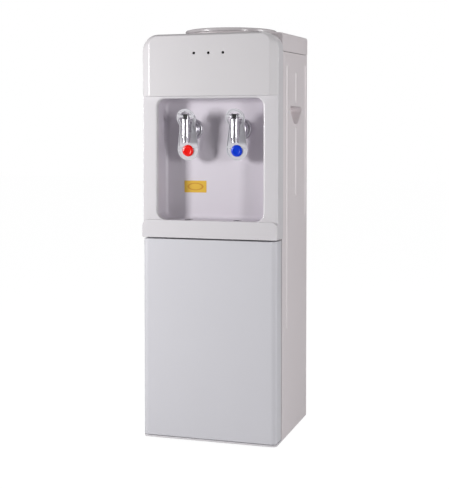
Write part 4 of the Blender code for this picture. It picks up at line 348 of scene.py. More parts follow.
class Form:
    """A mesh in the making, shaped by Blender's mesh operators."""

    def __init__(self, node=""):
        """Start empty, or with a CAD node's mesh."""
        self.bm = bmesh.new()
        if node:
            self.bm.from_mesh(frame["nodes"][node].data)

    def ring(self, plane, corners, radii, level, steps=8, filled=False):
        """An outline at a level, as a loop of edges: one rounding for all corners or one for each."""
        before = set(self.bm.faces)
        verts = [self.bm.verts.new(spot(plane, corner, level)) for corner in corners]
        self.bm.faces.new(verts)
        radii = radii if isinstance(radii, tuple) else [radii] * len(verts)
        for radius in sorted({value for value in radii if value > 0}):
            picked = [vert for vert, value in zip(verts, radii) if value == radius]
            ops.bevel(self.bm, geom=picked, offset=radius * MM, offset_type="OFFSET", segments=steps,
                      profile=0.5, affect="VERTICES", material=-1)
        face = next(face for face in self.bm.faces if face not in before)
        edges = list(face.edges)
        if not filled:
            ops.delete(self.bm, geom=[face], context="FACES_ONLY")
        return edges

    def web(self, outer, inner):
        """A flat face between an outer loop and the loops that lie in it."""
        ops.triangle_fill(self.bm, use_beauty=True, edges=outer + inner)

    def skin(self, rings, *caps):
        """Walls from loop to loop, flat where two lie in one plane, and a face over each loop named."""
        for near, far in zip(rings, rings[1:]):
            places = [vert.co for edge in near + far for vert in edge.verts]
            if any(max(place[axis] for place in places) - min(place[axis] for place in places) < WELD * MM
                   for axis in range(3)):
                self.web(near, far)
            else:
                ops.bridge_loops(self.bm, edges=near + far)
        for cap in caps:
            ops.contextual_create(self.bm, geom=rings[cap])
        return self

    def prism(self, plane, corners, radii, low, high, steps=8):
        """An outline pushed along its plane's axis, closed at both ends."""
        return self.skin([self.ring(plane, corners, radii, level, steps) for level in (low, high)], 0, -1)

    def lathe(self, profile, axis, centre, steps=64):
        """A turned shape in an empty form, from the radius and level of each point of a profile.

        The profile closes to a loop unless both ends lie on the axis. Levels count from the centre.
        """
        verts = [self.bm.verts.new(Vector((radius, 0, level)) * MM) for radius, level in profile]
        edges = [self.bm.edges.new(pair) for pair in zip(verts, verts[1:])]
        if profile[0][0] > 0 or profile[-1][0] > 0:
            edges.append(self.bm.edges.new((verts[-1], verts[0])))
        ops.spin(self.bm, geom=verts + edges, cent=(0, 0, 0), axis=(0, 0, 1), dvec=(0, 0, 0), angle=math.tau,
                 steps=steps, use_merge=True, use_duplicate=False)
        ops.remove_doubles(self.bm, verts=self.bm.verts, dist=WELD * MM)
        return self.move(centre, TURNS[axis])

    def bar(self, radius, low, high, axis, centre, steps=64):
        """A plain round bar in an empty form."""
        return self.lathe([(0, low), (radius, low), (radius, high), (0, high)], axis, centre, steps)

    def move(self, place, turn=TURNS[PLAN]):
        """Turn the form about the origin, then shift it."""
        ops.transform(self.bm, matrix=Matrix.Translation(Vector(place) * MM) @ turn, verts=self.bm.verts)
        return self

    def edges(self, test):
        """The edges whose two ends pass a test."""
        return [edge for edge in self.bm.edges if test(*(vert.co / MM for vert in edge.verts))]

    def corners(self, angle, test=lambda centre: True):
        """Edges whose faces turn by more than an angle, where the edge's middle passes a test."""
        self.bm.normal_update()
        pairs = [edge for edge in self.bm.edges if len(edge.link_faces) == 2]
        return [edge for edge in pairs if edge.calc_face_angle(0.0) > math.radians(angle)
                and test((edge.verts[0].co + edge.verts[1].co) / 2 / MM)]

    def soften(self, edges, width, steps=3):
        """Round edges off."""
        if edges:
            ops.bevel(self.bm, geom=edges, offset=width * MM, offset_type="OFFSET", segments=steps,
                      profile=0.5, affect="EDGES", clamp_overlap=True, material=-1)
        return self

    def tidy(self):
        """Weld the mesh and point its faces outwards."""
        ops.remove_doubles(self.bm, verts=self.bm.verts, dist=WELD * MM)
        ops.dissolve_degenerate(self.bm, edges=self.bm.edges, dist=WELD * MM)
        ops.recalc_face_normals(self.bm, faces=self.bm.faces)
        return self

    def thicken(self, width, turned):
        """Give an open skin a wall, once the faces that point the wrong way are turned."""
        ops.reverse_faces(self.bm, faces=turned)
        ops.solidify(self.bm, geom=self.bm.faces, thickness=width * MM)
        return self

    def mesh(self, name):
        """The form as an object in the scene; the form is used up."""
        self.tidy()
        data = bpy.data.meshes.new(name)
        self.bm.to_mesh(data)
        self.bm.free()
        return place_in_scene(name, data)

    def combine(self, tool, operation):
        """Cut with or join to another form, which is used up."""
        target, other = self.mesh("target"), tool.mesh("tool")
        step = target.modifiers.new("shape", "BOOLEAN")
        step.operation = operation
        step.object = other
        bpy.context.view_layer.update()
        result = bpy.data.meshes.new_from_object(target.evaluated_get(bpy.context.evaluated_depsgraph_get()))
        self.bm = bmesh.new()
        self.bm.from_mesh(result)
        bpy.data.batch_remove((target, other, target.data, other.data, result))
        self.tidy()

    def cut(self, *tools):
        """Take tools away."""
        for tool in tools:
            self.combine(tool, "DIFFERENCE")
        return self

    def join(self, *tools):
        """Grow by tools."""
        for tool in tools:
            self.combine(tool, "UNION")
        return self

    def add(self, other):
        """Take another form in as a loose part of this one; it is used up."""
        spare = bpy.data.meshes.new("spare")
        other.tidy().bm.to_mesh(spare)
        other.bm.free()
        self.bm.from_mesh(spare)
        bpy.data.meshes.remove(spare)
        return self


# Pieces
def piece(name, form, finish, slot, *replaced, body="body", sharp=38.0):
    """Put a form, which is used up, into the scene as a piece that rides on a body of the frame.

    It stands for the CAD nodes named. Edges that turn by more than the sharp angle stay sharp.
    """
    made = form.mesh(name)
    made.data.shade_smooth()
    made.data.set_sharp_from_angle(angle=math.radians(sharp))
    made.modifiers.new("face_weight", "WEIGHTED_NORMAL").keep_sharp = True
    made.data.materials.append(PALETTE[finish])
    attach(made, body)
    if replaced:
        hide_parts(*replaced)
    return made


def keep(finish, *nodes):
    """Give CAD nodes that keep their shape a better finish."""
    for node in nodes:
        materials = frame["nodes"][node].data.materials
        for index in range(len(materials)):
            materials[index] = PALETTE[finish]


def refine(node, finish, slot, width, steps=2, body="body"):
    """Put a copy of a CAD node, its edges rounded by a width in some steps, in the node's place."""
    form = Form(node).tidy()
    ops.dissolve_limit(form.bm, angle_limit=math.radians(1), use_dissolve_boundaries=False,
                       verts=form.bm.verts, edges=form.bm.edges)
    piece(node + "_finished", form.soften(form.corners(40), width, steps), finish, slot, node, body=body)


# Front
FRONT_HALF, FRONT_FOOT, FRONT_TOP, FRONT_REAR = 157, 464, 917, 50
LEDGE_TOP, HEAD_FOOT = 503.5, 779
SETBACK = 8
FOOT_CORNER, TOP_CORNER, HEAD_CORNER, LEDGE_CORNER = 3, 36, 20, 14
HEAD_BEVEL, HEAD_TOP_BEVEL = 17.5, 4
SHELL_WALL, SHELL_EDGE = 3, 1.5
ALCOVE_HALF, ALCOVE_TOP, ALCOVE_CORNER, ALCOVE_DEPTH = 122.5, 774, 18, 62
WINDOW_DEPTH, WINDOW_ROLL, BACK_FILLET = 11, 5, 9
LAMPS, LAMP_RADIUS = ("power_lamp", "heating_lamp", "cooling_lamp"), 3.1
TAPS = ("hot", "cold")
NECK_HEIGHT = 706


def outline(form, inset, depth):
    """The fascia's outer outline, drawn in by an inset, at a depth."""
    half = FRONT_HALF - HAIR - inset
    corners = span(half, FRONT_FOOT + HAIR + inset, FRONT_TOP - HAIR - inset)
    low, high = max(FOOT_CORNER - inset, 0.6), TOP_CORNER - inset
    return form.ring(FRONT, corners, (low, low, high, high), behind(depth))


def window(form, margin, depth, sill=0.0):
    """The alcove's opening, grown by a margin at the sides and top, at a depth."""
    corners = span(ALCOVE_HALF + margin, LEDGE_TOP - sill, ALCOVE_TOP + margin)
    return form.ring(FRONT, corners, ALCOVE_CORNER + margin, behind(depth))


def seat_tool(rear):
    """The tray's seat, as a tool that opens the ledge and the alcove's floor."""
    low, high = box("drip_cover")
    room = 0.6
    corners = rectangle((low.x - room, low.y - room), (high.x + room, behind(rear)))
    return Form().prism(PLAN, corners, 5, LEDGE_TOP - 8, LEDGE_TOP + 2, 6)


def build_shell():
    """The moulding: frame face, rounded opening, outer sides and inner walls."""
    form = Form()
    inner, rear = SETBACK + SHELL_WALL, SETBACK + WINDOW_DEPTH
    chamfer = SHELL_EDGE * 0.29
    rings = [outline(form, inset, depth) for inset, depth in (
        (SHELL_EDGE, SETBACK), (chamfer, SETBACK + chamfer), (0, SETBACK + SHELL_EDGE), (0, FRONT_REAR - 0.6),
        (0.6, FRONT_REAR), (SHELL_WALL, FRONT_REAR), (SHELL_WALL, inner))]
    rings += [window(form, SHELL_WALL, inner, SHELL_WALL), window(form, SHELL_WALL, rear, SHELL_WALL),
              window(form, 0, rear), window(form, 0, SETBACK + WINDOW_ROLL)]
    rings += [window(form, WINDOW_ROLL * (1 - cosine), SETBACK + WINDOW_ROLL * (1 - sine))
              for cosine, sine in quarter(8)[1:]]
    form.skin(rings).web(rings[0], rings[-1])
    form.tidy().cut(seat_tool(rear + 6))
    piece("fascia_shell", form, "white_abs", "shell", "front_fascia")


def build_head():
    """The head: a flat face whose bevel falls away to the fascia's outline."""
    form = Form()
    half = FRONT_HALF - HEAD_BEVEL
    rings = [form.ring(FRONT, span(half, HEAD_FOOT, FRONT_TOP - HEAD_TOP_BEVEL),
                       (FOOT_CORNER, FOOT_CORNER, HEAD_CORNER, HEAD_CORNER), behind(0), filled=True)]
    for depth in (SETBACK, SETBACK + 2):
        rings.append(form.ring(FRONT, span(FRONT_HALF, HEAD_FOOT, FRONT_TOP),
                               (FOOT_CORNER, FOOT_CORNER, TOP_CORNER, TOP_CORNER), behind(depth)))
    form.skin(rings, -1).tidy()
    form.soften(form.corners(8, lambda centre: centre.y < behind(0.1)), 1.6, 4)
    form.soften(form.corners(8, lambda centre: abs(centre.y - behind(SETBACK)) < 0.1), 0.8, 3)
    for name in LAMPS:
        form.cut(Form().lathe(disc_profile(LAMP_RADIUS + GAP, -4, 4), FRONT, lamp_place(name), 32))
    piece("head_panel", form, "head_abs", "shell", sharp=25.0)


def build_ledge():
    """The ledge under the alcove, with the seat that the drip tray drops into."""
    form = Form().prism(FRONT, span(FRONT_HALF, FRONT_FOOT, LEDGE_TOP),
                        (FOOT_CORNER, FOOT_CORNER, LEDGE_CORNER, LEDGE_CORNER), behind(0),
                        behind(SETBACK + 2), 10)
    form.tidy().soften(form.corners(30, lambda centre: centre.y < behind(0.1)), 1.4, 4)
    form.cut(seat_tool(SETBACK + WINDOW_DEPTH))
    piece("ledge_front", form, "white_abs", "shell", sharp=32.0)


def build_liner():
    """The alcove's liner: sides and top run back and turn into the rear wall with a fillet."""
    form = Form()
    start = SETBACK + WINDOW_DEPTH + GAP
    rings = [window(form, 3, start, 2.5), window(form, 0.2, start), window(form, 0, start + 0.4)]
    for cosine, sine in quarter(7):
        inset = BACK_FILLET * (1 - cosine)
        corners = span(ALCOVE_HALF - inset, LEDGE_TOP + inset, ALCOVE_TOP - inset)
        level = behind(ALCOVE_DEPTH - BACK_FILLET * (1 - sine))
        rings.append(form.ring(FRONT, corners, ALCOVE_CORNER - inset, level))
    form.skin(rings, -1).tidy()
    probe = Vector((0, behind(ALCOVE_DEPTH) - 20, 640)) * MM
    back = min(form.bm.faces, key=lambda item: (item.calc_center_median() - probe).length)
    form.thicken(2.2, form.bm.faces[:] if back.normal.y > 0 else [])
    form.tidy().cut(seat_tool(box("drip_cover")[1].y - FRONT_Y + 1.2))
    for kind in TAPS:
        form.cut(Form().bar(8.4, -8, 8, FRONT, (tap_x(kind), behind(ALCOVE_DEPTH), NECK_HEIGHT), 32))
    piece("alcove_liner_shell", form, "alcove_abs", "liner", "alcove_liner")


def lamp_place(name):
    """Where an indicator lamp's axis meets the head."""
    return middle(name).x, behind(0), middle(LAMPS[0]).z


def build_lamps():
    """Three smoked lenses, each domed in a pale rim."""
    radius = LAMP_RADIUS
    profile = [(0, -0.55), (radius * 0.45, -0.5), (radius * 0.78, -0.2), (radius - HAIR, 0.3),
               (radius - HAIR, 3.2), (radius + 1.6, 3.3), (radius + 1.6, 4.9), (radius, 4.9), (radius, 7.3),
               (0, 7.3)]
    rim = [(radius + 0.1, 0.2), (radius + 0.1, 2), (radius + 0.28, 2), (radius + 0.28, 0.1)]
    for name in LAMPS:
        lens = Form().lathe(profile, FRONT, lamp_place(name), 32).move((0, 0.6, 0))
        piece(name + "_lens", lens, "smoked_lens", "lens", name)
        piece(name + "_rim", Form().lathe(rim, FRONT, lamp_place(name), 32), "lamp_rim", "lens")


def build_sticker():
    """The plain amber sticker on the alcove's rear wall."""
    (x, z), (half_x, half_z), wall = STICKER_CENTRE, STICKER_HALF, behind(ALCOVE_DEPTH)
    corners = span(half_x, z - half_z, z + half_z, x)
    form = Form().prism(FRONT, corners, 1.5, wall - 0.25, wall - HAIR / 2, 4)
    piece("amber_sticker", form, "amber_sticker", "liner")


# Drip tray
TRAY_CORNER, TRAY_WALL, DRAIN_RADIUS, DRAIN_DEPTH = 6, 2, 11, 33


def build_cup():
    """The cup under the cover."""
    low, high = box("drip_cup")
    form = Form()
    rings = []
    for inset, level in ((1.2, low.z), (0, low.z + 1.5), (0, high.z), (TRAY_WALL, high.z),
                         (TRAY_WALL, low.z + TRAY_WALL + 2), (TRAY_WALL + 2, low.z + TRAY_WALL)):
        corners = rectangle((low.x + inset, low.y + inset), (high.x - inset, high.y - inset))
        rings.append(form.ring(PLAN, corners, TRAY_CORNER - inset, level, 5))
    piece("drip_cup_shell", form.skin(rings, 0, -1), "white_abs", "shell", "drip_cup", body="drip_tray")


def build_drip_cover():
    """The cover, its rim rounded, each drain sunk a little and lined by a black strainer, its dark colour
    painted shade for the inside of the drain.
    """
    low, high = box("drip_cover")
    form = Form().prism(PLAN, rectangle(low.xy, high.xy), TRAY_CORNER, low.z, high.z, 6)
    form.tidy().soften(form.corners(30, lambda centre: centre.z > high.z - 0.1), 0.7)
    drain = [(0, low.z - 4), (DRAIN_RADIUS, low.z - 4), (DRAIN_RADIUS, high.z - 0.9),
             (DRAIN_RADIUS + 0.25, high.z - 0.3), (DRAIN_RADIUS + 0.9, high.z + 0.01),
             (DRAIN_RADIUS + 0.9, high.z + 4), (0, high.z + 4)]
    radius, level = DRAIN_RADIUS - 0.1, low.z + 0.2
    shade_strainer = [(0, level), (radius, level), (radius, high.z - 0.5), (radius - 0.8, high.z - 0.7),
                (radius - 0.9, level + 0.9), (0, level + 0.9)]
    places = {kind: (tap_x(kind), behind(DRAIN_DEPTH), 0) for kind in TAPS}
    for place in places.values():
        form.cut(Form().lathe(drain, PLAN, place, 48))
    piece("drip_cover_plate", form, "alcove_abs", "liner", "drip_cover", body="drip_tray_cover")
    for kind, place in places.items():
        form = Form().lathe(shade_strainer, PLAN, place, 40)
        for turn in (0, 60, 120):
            slot = Form().prism(PLAN, span(radius * 0.75, -0.9, 0.9), 0.85, level - 1, level + 2, 4)
            form.cut(slot.move(place, Matrix.Rotation(math.radians(turn), 4, "Z")))
        # Black strainer cups: painted shade that makes each drain read dark inside.
        piece(kind + "_drain_strainer", form, "black_nylon", "dark", body="drip_tray_cover")


# Casing
CASE_HALF, CASE_FRONT, CASE_REAR, SHEET = 155, 50.3, 290.5, 1.5
GROOVE_DEPTH, GROOVE_WIDTH, GROOVE_CUT, GROOVE_LIP = 67, 1.6, 0.7, 0.35
BEAD_WIDTH, BEAD_RAISE = 15, 1.8
GRIP_DEPTH, GRIP_TOP, GRIP_HEIGHT, GRIP_RECESS = 179, 760, 42, 26
GRIP_HALF, GRIP_SWELL, GRIP_FOOT_HALF = 52, 4.5, 18
# Depth, foot and top of each bead
BEADS = ((95, 254, 851), (275, 498, 862), (GRIP_DEPTH, 766, 839), (GRIP_DEPTH, 552, 712))
COVER_FOOT, COVER_RISE, COVER_SEAM, COVER_WALL = 878, 7, 1.1, 3
COVER_SLOPE = COVER_RISE / 242.7
SEAT_CENTRE = Vector((0, middle("bottle_collar").y, 0))


def grip_ring(form, shrink, x):
    """The grip's outline in side view, shrunk, at an x."""
    centre = behind(GRIP_DEPTH)
    top, foot = GRIP_TOP - shrink, GRIP_TOP - GRIP_HEIGHT + shrink
    waist = GRIP_TOP - GRIP_HEIGHT / 4
    half, swell, low = GRIP_HALF - shrink, GRIP_HALF + GRIP_SWELL - shrink, GRIP_FOOT_HALF - shrink
    corners = [(centre - low, foot), (centre + low, foot), (centre + swell, waist), (centre + half, top),
               (centre - half, top), (centre - swell, waist)]
    return form.ring(SIDE, corners, (7, 7, 4.5, 2, 2, 4.5), x, 5)


def bead_ring(form, side, bead, inset, rise):
    """One level of a bead: a slot with round ends."""
    depth, low, high = bead
    reach = BEAD_WIDTH / 2 - inset
    corners = span(reach, low + inset, high - inset, behind(depth))
    return form.ring(SIDE, corners, reach * 0.985, side * (CASE_HALF + rise), 10)


def build_side(name, side):
    """A steel side panel: a flat skin with pressed beads, a groove and the grip's opening."""
    form = Form()
    front, rear, foot = behind(CASE_FRONT), behind(CASE_REAR), box(name)[0].z
    groove_front, groove_rear = behind(GROOVE_DEPTH), behind(GROOVE_DEPTH + GROOVE_WIDTH)

    def height(y):
        return COVER_FOOT - COVER_SEAM + COVER_SLOPE * (y - front)

    def strip(near, far):
        corners = [(near, foot), (far, foot), (far, height(far[0])), (near, height(near[0]))]
        form.bm.faces.new([form.bm.verts.new(spot(SIDE, (y, z), side * (CASE_HALF + level)))
                           for (y, level), z in corners])

    edge = 0.8
    line = [(front, -edge), (front + edge * 0.3, -edge * 0.3), (front + edge, 0), (groove_front, 0),
            (groove_front + GROOVE_LIP, -GROOVE_CUT), (groove_rear - GROOVE_LIP, -GROOVE_CUT),
            (groove_rear, 0)]
    for near, far in [*zip(line, line[1:]), ((rear - edge, 0), (rear, -edge))]:
        strip(near, far)
    outer = form.ring(SIDE, [(groove_rear, foot), (rear - edge, foot), (rear - edge, height(rear - edge)),
                             (groove_rear, height(groove_rear))], 0, side * CASE_HALF)
    holes = []
    for bead in BEADS:
        levels = ((0, 0), (0.8, 0.1), (1.8, 0.5), (2.8, 0.9), (4.2, 1))
        rings = [bead_ring(form, side, bead, inset, BEAD_RAISE * share) for inset, share in levels]
        form.skin(rings, -1)
        holes += rings[0]
    sinks = ((0, 0), (0.15, 0.35), (0.5, 0.9))
    rings = [grip_ring(form, shrink, side * (CASE_HALF - sink)) for shrink, sink in sinks]
    form.skin(rings).web(outer, holes + rings[0])
    form.tidy().thicken(SHEET, [item for item in form.bm.faces if item.normal.x * side < 0])
    piece(name + "_skin", form, "painted_steel", "panel", name)


def build_grip(name, side):
    """The moulded cup behind a grip opening, its floor rising to the finger edge."""
    form = Form()
    mouth, floor = CASE_HALF - 1.6, CASE_HALF - GRIP_RECESS
    rings = [grip_ring(form, shrink, side * x) for shrink, x in (
        (-1.6, mouth), (1, mouth), (1.6, mouth - 0.8), (3.2, floor + 3), (4.6, floor + 0.7), (6.5, floor))]
    form.skin(rings, -1).tidy()
    floor_face = max(form.bm.faces, key=lambda item: item.calc_area() if abs(item.normal.x) > 0.9 else 0)
    form.thicken(1.6, form.bm.faces[:] if floor_face.normal.x * side < 0 else [])
    piece(name + "_cup", form, "painted_steel", "shell", name)


def build_rear():
    """The steel back: vents, switch and inlet openings, screws round the edge."""
    refine("rear_panel", "painted_steel", "panel", 0.35)
    low, high = box("rear_panel")
    places = [(x, z) for x in (low.x + 9, high.x - 9)
              for z in (low.z + 20, low.z + 240, low.z + 455, low.z + 660, high.z - 18)]
    for index, (x, z) in enumerate(places):
        form = Form().lathe([(0, 0), (3.6, 0), (3.6, 0.3), (3.1, 1.05), (2, 1.5), (0, 1.5)], FRONT,
                            (x, high.y + HAIR, z), 28)
        for turn in (0, 90):
            slot = Form().prism(FRONT, span(1.7, -0.35, 0.35), 0, high.y + 0.7, high.y + 3)
            form.cut(slot.move((x, 0, z), Matrix.Rotation(math.radians(turn + 20 * index), 4, "Y")))
        piece(f"rear_screw_{index + 1}", form, "zinc_steel", "zinc")


def build_base():
    """The base with its lip, and four turned feet with ribbed sides."""
    refine("base_plate", "white_abs", "shell", 0.6, 3)
    for name in ("foot_front_left", "foot_front_right", "foot_rear_left", "foot_rear_right"):
        low, high = box(name)
        radius, tread = (high.x - low.x) / 2, 11.6
        profile = [(0, 1.2), (radius * 0.62, 1.2), (radius * 0.68, 0.1), (radius * 0.9, 0),
                   (radius - 0.5, 0.4), (radius, 1.2), (radius, 3), (radius - 0.6, 3.4), (radius - 0.6, 4.2),
                   (radius, 4.6), (radius - 0.2, 6.4), (radius - 0.8, 6.8), (radius - 0.8, 7.6),
                   (radius - 0.3, 8), (radius - 0.6, tread - 0.6), (radius - 1.2, tread), (4, tread),
                   (4, high.z - 0.6), (3.4, high.z), (0, high.z)]
        form = Form().lathe(profile, PLAN, (middle(name).x, middle(name).y, 0), 40)
        piece(name + "_pad", form, "black_rubber", "rubber", name)


def build_top_cover():
    """The top cover: sloping cap, soft long edges, level boss for the bottle collar."""
    low, high = box("top_cover")
    front, rear, front_top, wall = low.y, high.y, low.z + 41, COVER_WALL
    form = Form().prism(SIDE, [(front, low.z), (rear, low.z + COVER_RISE), (rear, front_top + COVER_RISE),
                               (front, front_top)], 0, -CASE_HALF, CASE_HALF)
    form.tidy()
    form.soften(form.edges(lambda a, b: min(a.z, b.z) > front_top - 1 and abs(a.y - b.y) > 100), 6, 8)
    form.soften(form.edges(lambda a, b: max(abs(a.y - rear), abs(b.y - rear)) < 0.01 and (a - b).length > 20),
                2.5, 5)
    form.join(Form().lathe([(0, front_top - 8), (106, front_top - 8), (106, high.z - 0.6), (105.4, high.z),
                            (0, high.z)], PLAN, SEAT_CENTRE, 96))
    inner = [(front + wall, low.z - wall), (rear - wall, low.z - wall),
             (rear - wall, front_top + COVER_RISE - wall), (front + wall, front_top - wall)]
    form.cut(Form().prism(SIDE, inner, 0, wall - CASE_HALF, CASE_HALF - wall),
             Form().bar(99.8, low.z - 4, high.z + 4, PLAN, SEAT_CENTRE, 96))
    piece("top_cover_shell", form, "painted_steel", "shell", "top_cover", sharp=30.0)


# Bottle seat
def build_collar():
    """The collar that steadies the bottle."""
    low, high = box("bottle_collar")
    outer, skirt, inner, ledge, bend = (high.x - low.x) / 2, 99.5, 93, 88, 3.5
    shoulder, arc = high.z - 8, high.z - bend
    profile = [(skirt, low.z), (skirt, shoulder), (outer - 0.6, shoulder), (outer, shoulder + 0.6)]
    profile += [(outer - bend + bend * cosine, arc + bend * sine) for cosine, sine in quarter(6)]
    profile += [(inner + bend - bend * sine, arc + bend * cosine) for cosine, sine in quarter(6)]
    profile += [(inner, low.z + 5), (inner - 0.6, low.z + 4), (ledge + 0.6, low.z + 4), (ledge, low.z + 3.4),
                (ledge, low.z)]
    form = Form().lathe(profile, PLAN, SEAT_CENTRE, 128)
    piece("bottle_collar_ring", form, "grey_abs", "collar", "bottle_collar")


def build_funnel():
    """The lift-out funnel: rim, cone, throat and the probe that opens the bottle."""
    low, high = box("water_guard")
    floor, top, rim, cone = low.z, high.z, (high.x - low.x) / 2, 87.4
    rim_foot, probe = top - 2.7, floor + 46
    profile = [(0, floor), (32.2, floor), (33, floor + 0.8), (33, rim_foot - 25), (33.6, rim_foot - 23.6),
               (cone - 1, rim_foot - 0.3), (cone, rim_foot), (rim - 0.4, rim_foot), (rim, rim_foot + 0.4),
               (rim, top - 0.5), (rim - 0.5, top), (cone - 2.6, top), (cone - 3.6, top - 0.3),
               (31, top - 23.6), (30, top - 25), (30, floor + 4.2), (28.8, floor + 3), (9.2, floor + 3),
               (8, floor + 4.2), (8, probe - 5), (7.2, probe - 2.2), (5, probe - 0.6), (3, probe), (0, probe)]
    form = Form().lathe(profile, PLAN, SEAT_CENTRE, 96)
    for turn in (45, 135, 225, 315):
        place = SEAT_CENTRE + Matrix.Rotation(math.radians(turn), 3, "Z") @ Vector((19, 0, 0))
        form.cut(Form().bar(4, floor - 4, floor + 7, PLAN, place, 24))
    for turn in (0, 120, 240):
        slit = Form().prism(SIDE, span(2, probe - 22, probe - 9), 1.9, 5, 12, 5)
        form.cut(slit.move(SEAT_CENTRE, Matrix.Rotation(math.radians(turn), 4, "Z")))
    piece("bottle_funnel_shell", form, "funnel_abs", "silicone", "water_guard", body="bottle_funnel")


# Taps
TAP_AXIS_DEPTH, TAP_WALL_DEPTH, TAP_BODY_DEPTH = 14, 61.7, 41.7
BARREL_RADIUS, BARREL_FOOT, BARREL_TOP, NOZZLE_RADIUS = 10.5, NECK_HEIGHT - 19, NECK_HEIGHT + 23, 9.3
PIVOT_HEIGHT = 735
RING_HEIGHT, RING_RADIUS, RING_HOLE = NECK_HEIGHT + 23, 22, 16
PADDLE_HEIGHT, PADDLE_RADIUS = NECK_HEIGHT - 45.5, 24.5
PLATE_HALF, SLOT_HALF = 1.75, 8.4
CAP_RADIUS, CAP_DISH, CAP_HEIGHT = 13, 7.8, NECK_HEIGHT - 48


def tap_x(kind):
    """X of a tap's axis, from its CAD body."""
    return middle(kind + "_tap_body").x


def build_tap_body(kind):
    """Barrel with collars and nozzle, neck with its body and wall flange, and the fork's two cheeks."""
    x, node = tap_x(kind), kind + "_tap_body"
    foot, top, tip, nozzle, barrel = BARREL_FOOT, BARREL_TOP, BARREL_FOOT - 11, NOZZLE_RADIUS, BARREL_RADIUS
    profile = [(6.3, tip + 0.3), (nozzle - 1.8, tip), (nozzle - 1.2, tip + 0.3), (nozzle - 0.8, foot - 3.5),
               (nozzle, foot - 1.6), (nozzle, foot - 0.4), (barrel - 0.7, foot), (barrel, foot + 0.7),
               (barrel, foot + 3.2), (barrel - 0.7, foot + 3.9), (barrel - 0.7, top - 5.2),
               (barrel, top - 4.5), (barrel, top - 1.2), (barrel - 0.4, top - 0.4), (barrel - 1.2, top),
               (3, top), (3, top - 7), (6.3, top - 7)]
    y = behind(TAP_AXIS_DEPTH)
    piece(node + "_barrel", Form().lathe(profile, PLAN, (x, y, 0)), "chrome_plate", "chrome", node)
    start, bulge, wall = y + barrel - 1.2, behind(TAP_BODY_DEPTH), behind(TAP_WALL_DEPTH)
    flange = wall - 5
    reach = [(0, start), (8.2, start), (7.4, start + 1.6), (7.2, start + 5), (7.4, bulge - 3),
             (9, bulge - 0.6), (13.5, bulge), (15.8, bulge + 0.7), (17, bulge + 2.2), (17, flange - 1),
             (18, flange), (21.5, flange + 0.4), (23.4, flange + 1.6), (24, flange + 3.2), (24, wall - HAIR),
             (8, wall - HAIR), (8, wall + 16), (0, wall + 16)]
    piece(node + "_neck", Form().lathe(reach, FRONT, (x, 0, NECK_HEIGHT)), "chrome_plate", "chrome")
    form = Form()
    for side in (-1, 1):
        corners = span(5.5, top - 0.8, PIVOT_HEIGHT + 5.5, y)
        cheek = Form().prism(SIDE, corners, (0, 0, 5.3, 5.3), x + side * 4.7, x + side * 7.6).tidy()
        form.add(cheek.soften(cheek.corners(40, lambda centre: centre.z > top), 0.6))
    piece(node + "_fork", form, "chrome_plate", "chrome")


def lever_depth(level):
    """How far back the lever's middle lies at a height, along its bent line with soft bends."""
    line = [(NECK_HEIGHT + 48, 5.3), (NECK_HEIGHT + 5, 25.5), (NECK_HEIGHT - 16, 27.5),
            (NECK_HEIGHT - 74, 31.3)]

    def straight(z):
        for (high, near), (low, far) in zip(line, line[1:]):
            if z >= low:
                return near + (far - near) * (high - z) / (high - low)
        return line[-1][1]

    return sum(straight(level + step) for step in range(-3, 4)) / 7


def build_lever(kind):
    """The push lever: ring, waist and dished paddle in one bent plate with a raised rim."""
    x, half = tap_x(kind), PLATE_HALF
    ring, paddle = (x, 0, RING_HEIGHT), (x, 0, PADDLE_HEIGHT)
    shoulder, hip, waist_foot, waist_top = 17.6, PADDLE_RADIUS - 0.7, PADDLE_HEIGHT + 6, RING_HEIGHT - 13
    waist = [(x - hip, waist_foot), (x + hip, waist_foot), (x + shoulder, waist_top),
             (x - shoulder, waist_top)]
    slot = span(SLOT_HALF, NECK_HEIGHT - 12, RING_HEIGHT, x)
    form = Form().bar(RING_RADIUS, -half, half, FRONT, ring, 72)
    form.join(Form().bar(PADDLE_RADIUS, -half, half, FRONT, paddle, 72),
              Form().prism(FRONT, waist, 0, -half, half))
    form.cut(Form().bar(RING_HOLE, -9, 9, FRONT, ring, 72),
             Form().prism(FRONT, slot, (8.2, 8.2, 0, 0), -9, 9, 10))
    form.bm.normal_update()
    front = [item for item in form.bm.faces if item.normal.y < -0.9]
    ops.inset_region(form.bm, faces=front, thickness=2.1 * MM, use_boundary=True, use_even_offset=False)
    front = [item for item in form.bm.faces if item.normal.y < -0.9 and item in set(front)]
    ops.inset_region(form.bm, faces=front, thickness=0.6 * MM, depth=-1.3 * MM, use_boundary=True,
                     use_even_offset=False)
    form.tidy()
    form.soften(form.corners(60), 0.7)
    for level in range(NECK_HEIGHT - 72, NECK_HEIGHT + 46, 3):
        ops.bisect_plane(form.bm, geom=form.bm.verts[:] + form.bm.edges[:] + form.bm.faces[:],
                         plane_co=(0, 0, level * MM), plane_no=(0, 0, 1), dist=WELD * MM)
    for vert in form.bm.verts:
        vert.co.y += behind(lever_depth(vert.co.z / MM)) * MM
    for side in (-1, 1):
        arm = Form().lathe(disc_profile(3.9, 8.2, 20.3, 0.7), SIDE, (0, 0, 0), 32)
        form.add(arm.move((x, behind(TAP_AXIS_DEPTH), PIVOT_HEIGHT), Matrix.Diagonal((side, 1, 1, 1))))
    piece(kind + "_tap_lever_plate", form, "lever_abs", "lever", kind + "_tap_lever", body=kind + "_lever")


